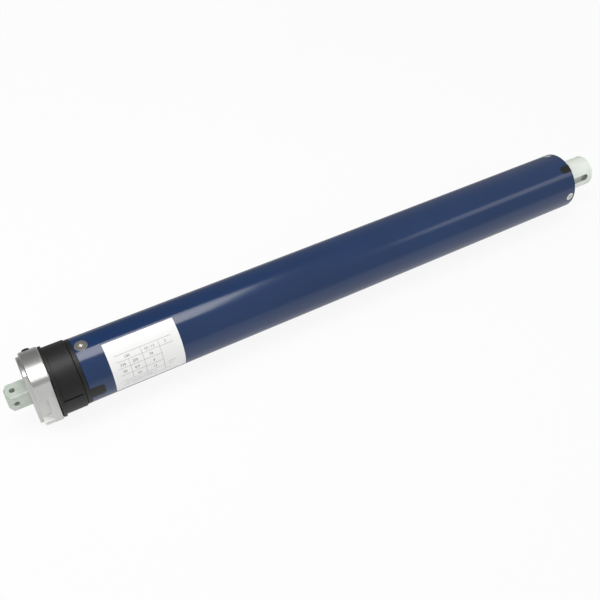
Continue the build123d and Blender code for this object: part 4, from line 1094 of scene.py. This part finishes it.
@dataclass
class DriveTrain:
    """What the tube holds: capacitor, brake, motor, gearbox and the output shaft."""

    spring_radius: float = 5.5 * MM
    wire_radius: float = 0.8 * MM
    spring_turns: float = 5.5
    armature_travel: float = 0.6 * MM
    keyway_shade: float = 613.5 * MM
    keyway_end: float = 619.0 * MM
    keyway_floor: float = 12.0 * MM
    keyway_rim: float = 15.5 * MM
    keyway_width: float = 7.0 * MM
    keyway_slack: float = 0.1 * MM
    keyway_turn: float = 166.0
    # Painted shade in the keyway, deeper at its outer end from keyway_shade on.
    keyway_painted_shade: str = "cbcfc9"
    keyway_end_painted_shade: str = "a6a9a5"

    def spring(self, coil: CoilTree, finishes: Finishes) -> None:
        """Winds the brake's spring at one fixed length, though the real spring shortens as the armature is pulled
        in.

        Args:
            coil: The tree that winds it.
            finishes: The motor's finishes.
        """
        low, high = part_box("brake_spring")
        blank = to_object("spring_blank", bmesh.new())
        piece = coil.run(blank, "brake_spring_coil", Turns=self.spring_turns,
                         Coil_Radius=self.spring_radius - self.wire_radius, Wire_Radius=self.wire_radius,
                         Length=high.x - low.x - 2 * self.wire_radius, Start=low.x + self.wire_radius,
                         Material=finishes.get("spring_steel"))
        piece.data.shade_smooth()
        hand_over(piece, "motor_body", "spring_steel", "brake_spring")
        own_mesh(piece)

    def keyway(self) -> list[Hollow]:
        """Finds the output shaft's keyway, whose shade is painted into the shaft's colour.

        Returns:
            Its long part with painted shade, and its outer end with deeper painted shade.
        """
        side, below = self.keyway_width / 2 + self.keyway_slack, self.keyway_floor - self.keyway_slack
        stations = (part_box("output_shaft")[0].x, self.keyway_shade, self.keyway_end)
        return [Hollow((start, below, -side), (end, self.keyway_rim, side), self.keyway_turn, color)
                for start, end, color in zip(stations, stations[1:], (self.keyway_painted_shade, self.keyway_end_painted_shade))]

    def build(self, coil: CoilTree, finishes: Finishes) -> None:
        """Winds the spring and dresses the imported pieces.

        Args:
            coil: The tree that winds the spring.
            finishes: The motor's finishes.
        """
        self.spring(coil, finishes)
        finishes.dress({
            "black_plastic": ("capacitor_holders", "gearbox_end_cap"),
            "capacitor_case": ("capacitor",),
            "cast_aluminium": ("brake_housing", "rear_end_shield", "front_end_shield"),
            "lamination": ("brake_pot", "stator_core", "rotor_core"),
            "winding_copper": ("brake_coil", "stator_windings"),
            "brake_lining": ("brake_disc",),
            "bright_steel": ("brake_counter_plate", "rotor_bearings", "rotor_shaft", "output_bearings"),
            "switch_plastic": ("thermal_protector",),
            "seal_rubber": ("shaft_seal",),
            "shaft_steel": ("output_shaft",),
            "gear_steel": ("brake_armature", "gearbox_housing", "stage_1_sun", "output_carrier", "stage_1_carrier",
                           "stage_2_carrier"),
        })
        # Paint the keyway's shade into the shaft's colour.
        for part in self.keyway():
            part.tint(finishes.get("shaft_steel"))
        for stage, name in ((1, "gear_plastic"), (2, "gear_steel"), (3, "gear_steel")):
            finishes.dress({name: tuple(f"stage_{stage}_planet_{number}" for number in (1, 2, 3))})


@dataclass(frozen=True)
class SoftBox:
    """A soft box: where it hangs and what it points at in metres, its two sides, its turn and its brightness."""

    name: str
    place: Triple
    aim: Triple
    size: Pair
    turn: float
    brightness: float

    def hang(self) -> None:
        """Hangs the box with its long side along the motor, turned by its few degrees."""
        data = bpy.data.lights.new(self.name, "AREA")
        data.shape, data.size, data.size_y = "RECTANGLE", *self.size
        data.energy = WATTS_PER_RADIANCE * self.brightness * self.size[0] * self.size[1]
        away = (Vector(self.place) - Vector(self.aim)).normalized()
        side = Vector((cos(radians(self.turn)), sin(radians(self.turn)), 0))
        side = (side - away * side.dot(away)).normalized()
        turn = Matrix((side, away.cross(side), away)).transposed().to_4x4()
        put(self.name, data).matrix_world = Matrix.Translation(self.place) @ turn


@dataclass
class Studio:
    """A pale floor, soft light and the camera of the photograph; sizes in metres."""

    floor_size: float = 9.0
    floor_drop: float = 0.0003
    floor_middle: float = 0.3
    floor_white: str = "f2f2f2"
    # How much of the floor glows near the motor, where the rest keeps its shadow, and where all of it glows.
    floor_share: float = 0.9
    shadow_near: float = 0.45
    shadow_far: float = 1.6
    # How bright metal sees the floor: by the distance from the axis, and in front of the motor and behind it.
    floor_near: float = 0.05
    floor_far: float = 0.5
    floor_dimmest: float = 0.5
    floor_front: float = 0.72
    floor_rear: float = 0.42
    # The sky's light on the motor, and how bright metal sees the sky at the front, the rear and the right.
    front_light: float = 0.85
    rear_light: float = 0.2
    front_in_metal: float = 0.35
    rear_in_metal: float = 0.14
    right_in_metal: float = 0.36
    # Where the sky changes, as a direction's share of X or Y.
    right_band: Pair = (0.1, 0.6)
    rear_band: Pair = (-0.3, 0.35)
    sky_band: Pair = (-1.0, 1.0)
    boxes: tuple[SoftBox, ...] = (
        SoftBox("overhead_box", place=(-0.08, 0.08, 1.0), aim=(-0.08, 0.08, 0.0), size=(1.12, 0.49), turn=-15.0,
                brightness=2.85),
        SoftBox("side_box", place=(1.78, -0.89, 1.15), aim=(0.5, 0.0, 0.0), size=(1.1, 0.4), turn=0.0,
                brightness=0.8),
    )
    eye: Triple = (-0.0068062, -0.4758223, 0.5378193)
    ahead: Triple = (0.3455618, 0.6064884, -0.7160718)
    right: Triple = (0.8687538, -0.4952442, -0.0002119)
    lens: float = 48.0
    sensor: float = 36.0
    nearest: float = 0.01

    def seen(self, sheet: Sheet, in_metal: object) -> tuple[bpy.types.NodeSocket, bpy.types.NodeSocket]:
        """Finds the rays that show the background.

        Args:
            sheet: The nodes of the floor or the sky.
            in_metal: How bright the background looks in metal and glass.

        Returns:
            A mask of those rays, and the background's brightness for them.
        """
        rays = sheet.add("ShaderNodeLightPath").outputs
        mirrored = sheet.math("MAXIMUM", rays["Is Glossy Ray"], rays["Is Transmission Ray"])
        shown = sheet.math("MAXIMUM", rays["Is Camera Ray"], mirrored)
        brightness = sheet.math("MAXIMUM", rays["Is Camera Ray"], sheet.math("MULTIPLY", mirrored, in_metal))
        return shown, brightness

    def floor(self, height: float) -> None:
        """Lays the floor under the motor; it keeps the motor's shadow, and metal shows it dimmer further off.

        Args:
            height: The lowest point of the motor.
        """
        shape = bmesh.new()
        bmesh.ops.create_grid(shape, x_segments=1, y_segments=1, size=self.floor_size / 2)
        bmesh.ops.translate(shape, verts=shape.verts, vec=(self.floor_middle, 0.0, height - self.floor_drop))
        made, sheet, unused = start_material("studio_floor")
        made.node_tree.nodes.remove(unused)
        way = sheet.place()
        distance = sheet.math("ABSOLUTE", way["Y"])
        far_off = sheet.span(distance, self.floor_near, self.floor_far, 1.0, self.floor_dimmest)
        behind = sheet.span(way["Y"], -self.floor_near, self.floor_near, self.floor_front, self.floor_rear)
        shown, brightness = self.seen(sheet, sheet.math("MULTIPLY", far_off, behind))
        matt = sheet.add("ShaderNodeBsdfDiffuse", {"Color": tone(self.floor_white)})
        glow = sheet.add("ShaderNodeEmission", {"Color": WHITE, "Strength": brightness})
        aside = sheet.math("ABSOLUTE", sheet.math("SUBTRACT", way["X"], self.floor_middle))
        share = sheet.span(sheet.math("MAXIMUM", aside, distance), self.shadow_near, self.shadow_far,
                           self.floor_share, 1.0)
        both = sheet.mix_shaders(sheet.math("MULTIPLY", shown, share), matt, glow)
        sheet.feed(made.node_tree.nodes["Material Output"].inputs["Surface"], both)
        to_object("studio_floor", shape, made)

    def sky(self) -> None:
        """Sets the soft light from all round, and the white background; both are dimmer towards the rear."""
        world = bpy.data.worlds.new("studio_sky")
        world.use_nodes = True
        bpy.context.scene.world = world
        sheet = Sheet(world.node_tree)
        light = world.node_tree.nodes["Background"]
        light.inputs["Color"].default_value = WHITE
        way = sheet.place("Generated")
        rear = sheet.span(way["X"], *self.right_band, self.rear_in_metal, self.right_in_metal)
        in_metal = sheet.span(way["Y"], *self.rear_band, self.front_in_metal, rear)
        overall = sheet.span(way["Y"], *self.sky_band, self.front_light, self.rear_light)
        sheet.feed(light.inputs["Strength"], overall)
        shown, brightness = self.seen(sheet, in_metal)
        white = sheet.add("ShaderNodeBackground", {"Color": WHITE, "Strength": brightness})
        both = sheet.mix_shaders(shown, light, white)
        sheet.feed(world.node_tree.nodes["World Output"].inputs["Surface"], both)

    def camera(self) -> None:
        """Sets the camera where the photograph was taken from."""
        data = bpy.data.cameras.new("photo_view")
        data.lens, data.sensor_width, data.clip_start = self.lens, self.sensor, self.nearest
        camera = put("photo_view", data)
        back, right = -Vector(self.ahead), Vector(self.right)
        up = back.cross(right)
        turn = Matrix((right, up, back)).transposed().to_4x4()
        camera.matrix_world = Matrix.Translation(self.eye) @ turn
        bpy.context.scene.camera = camera

    def build(self, low: Vector) -> None:
        """Builds the studio round the motor.

        Args:
            low: The lowest corner of the motor's box.
        """
        bpy.context.scene.view_settings.view_transform = "Standard"
        self.floor(low.z)
        self.sky()
        for box in self.boxes:
            box.hang()
        self.camera()


def main() -> None:
    """Builds the sub-assemblies in order, and the studio round them."""
    logging.basicConfig(level=logging.INFO, format="%(name)s: %(message)s")
    finishes, ring, coil = Finishes(), RingTree(), CoilTree()
    DriveHead().build(ring, finishes)
    LimitUnit().build(finishes)
    MotorTube().build(ring, finishes)
    DriveTrain().build(coil, finishes)
    Studio().build(CAD_BOX[0])


if __name__ == "__main__":
    main()
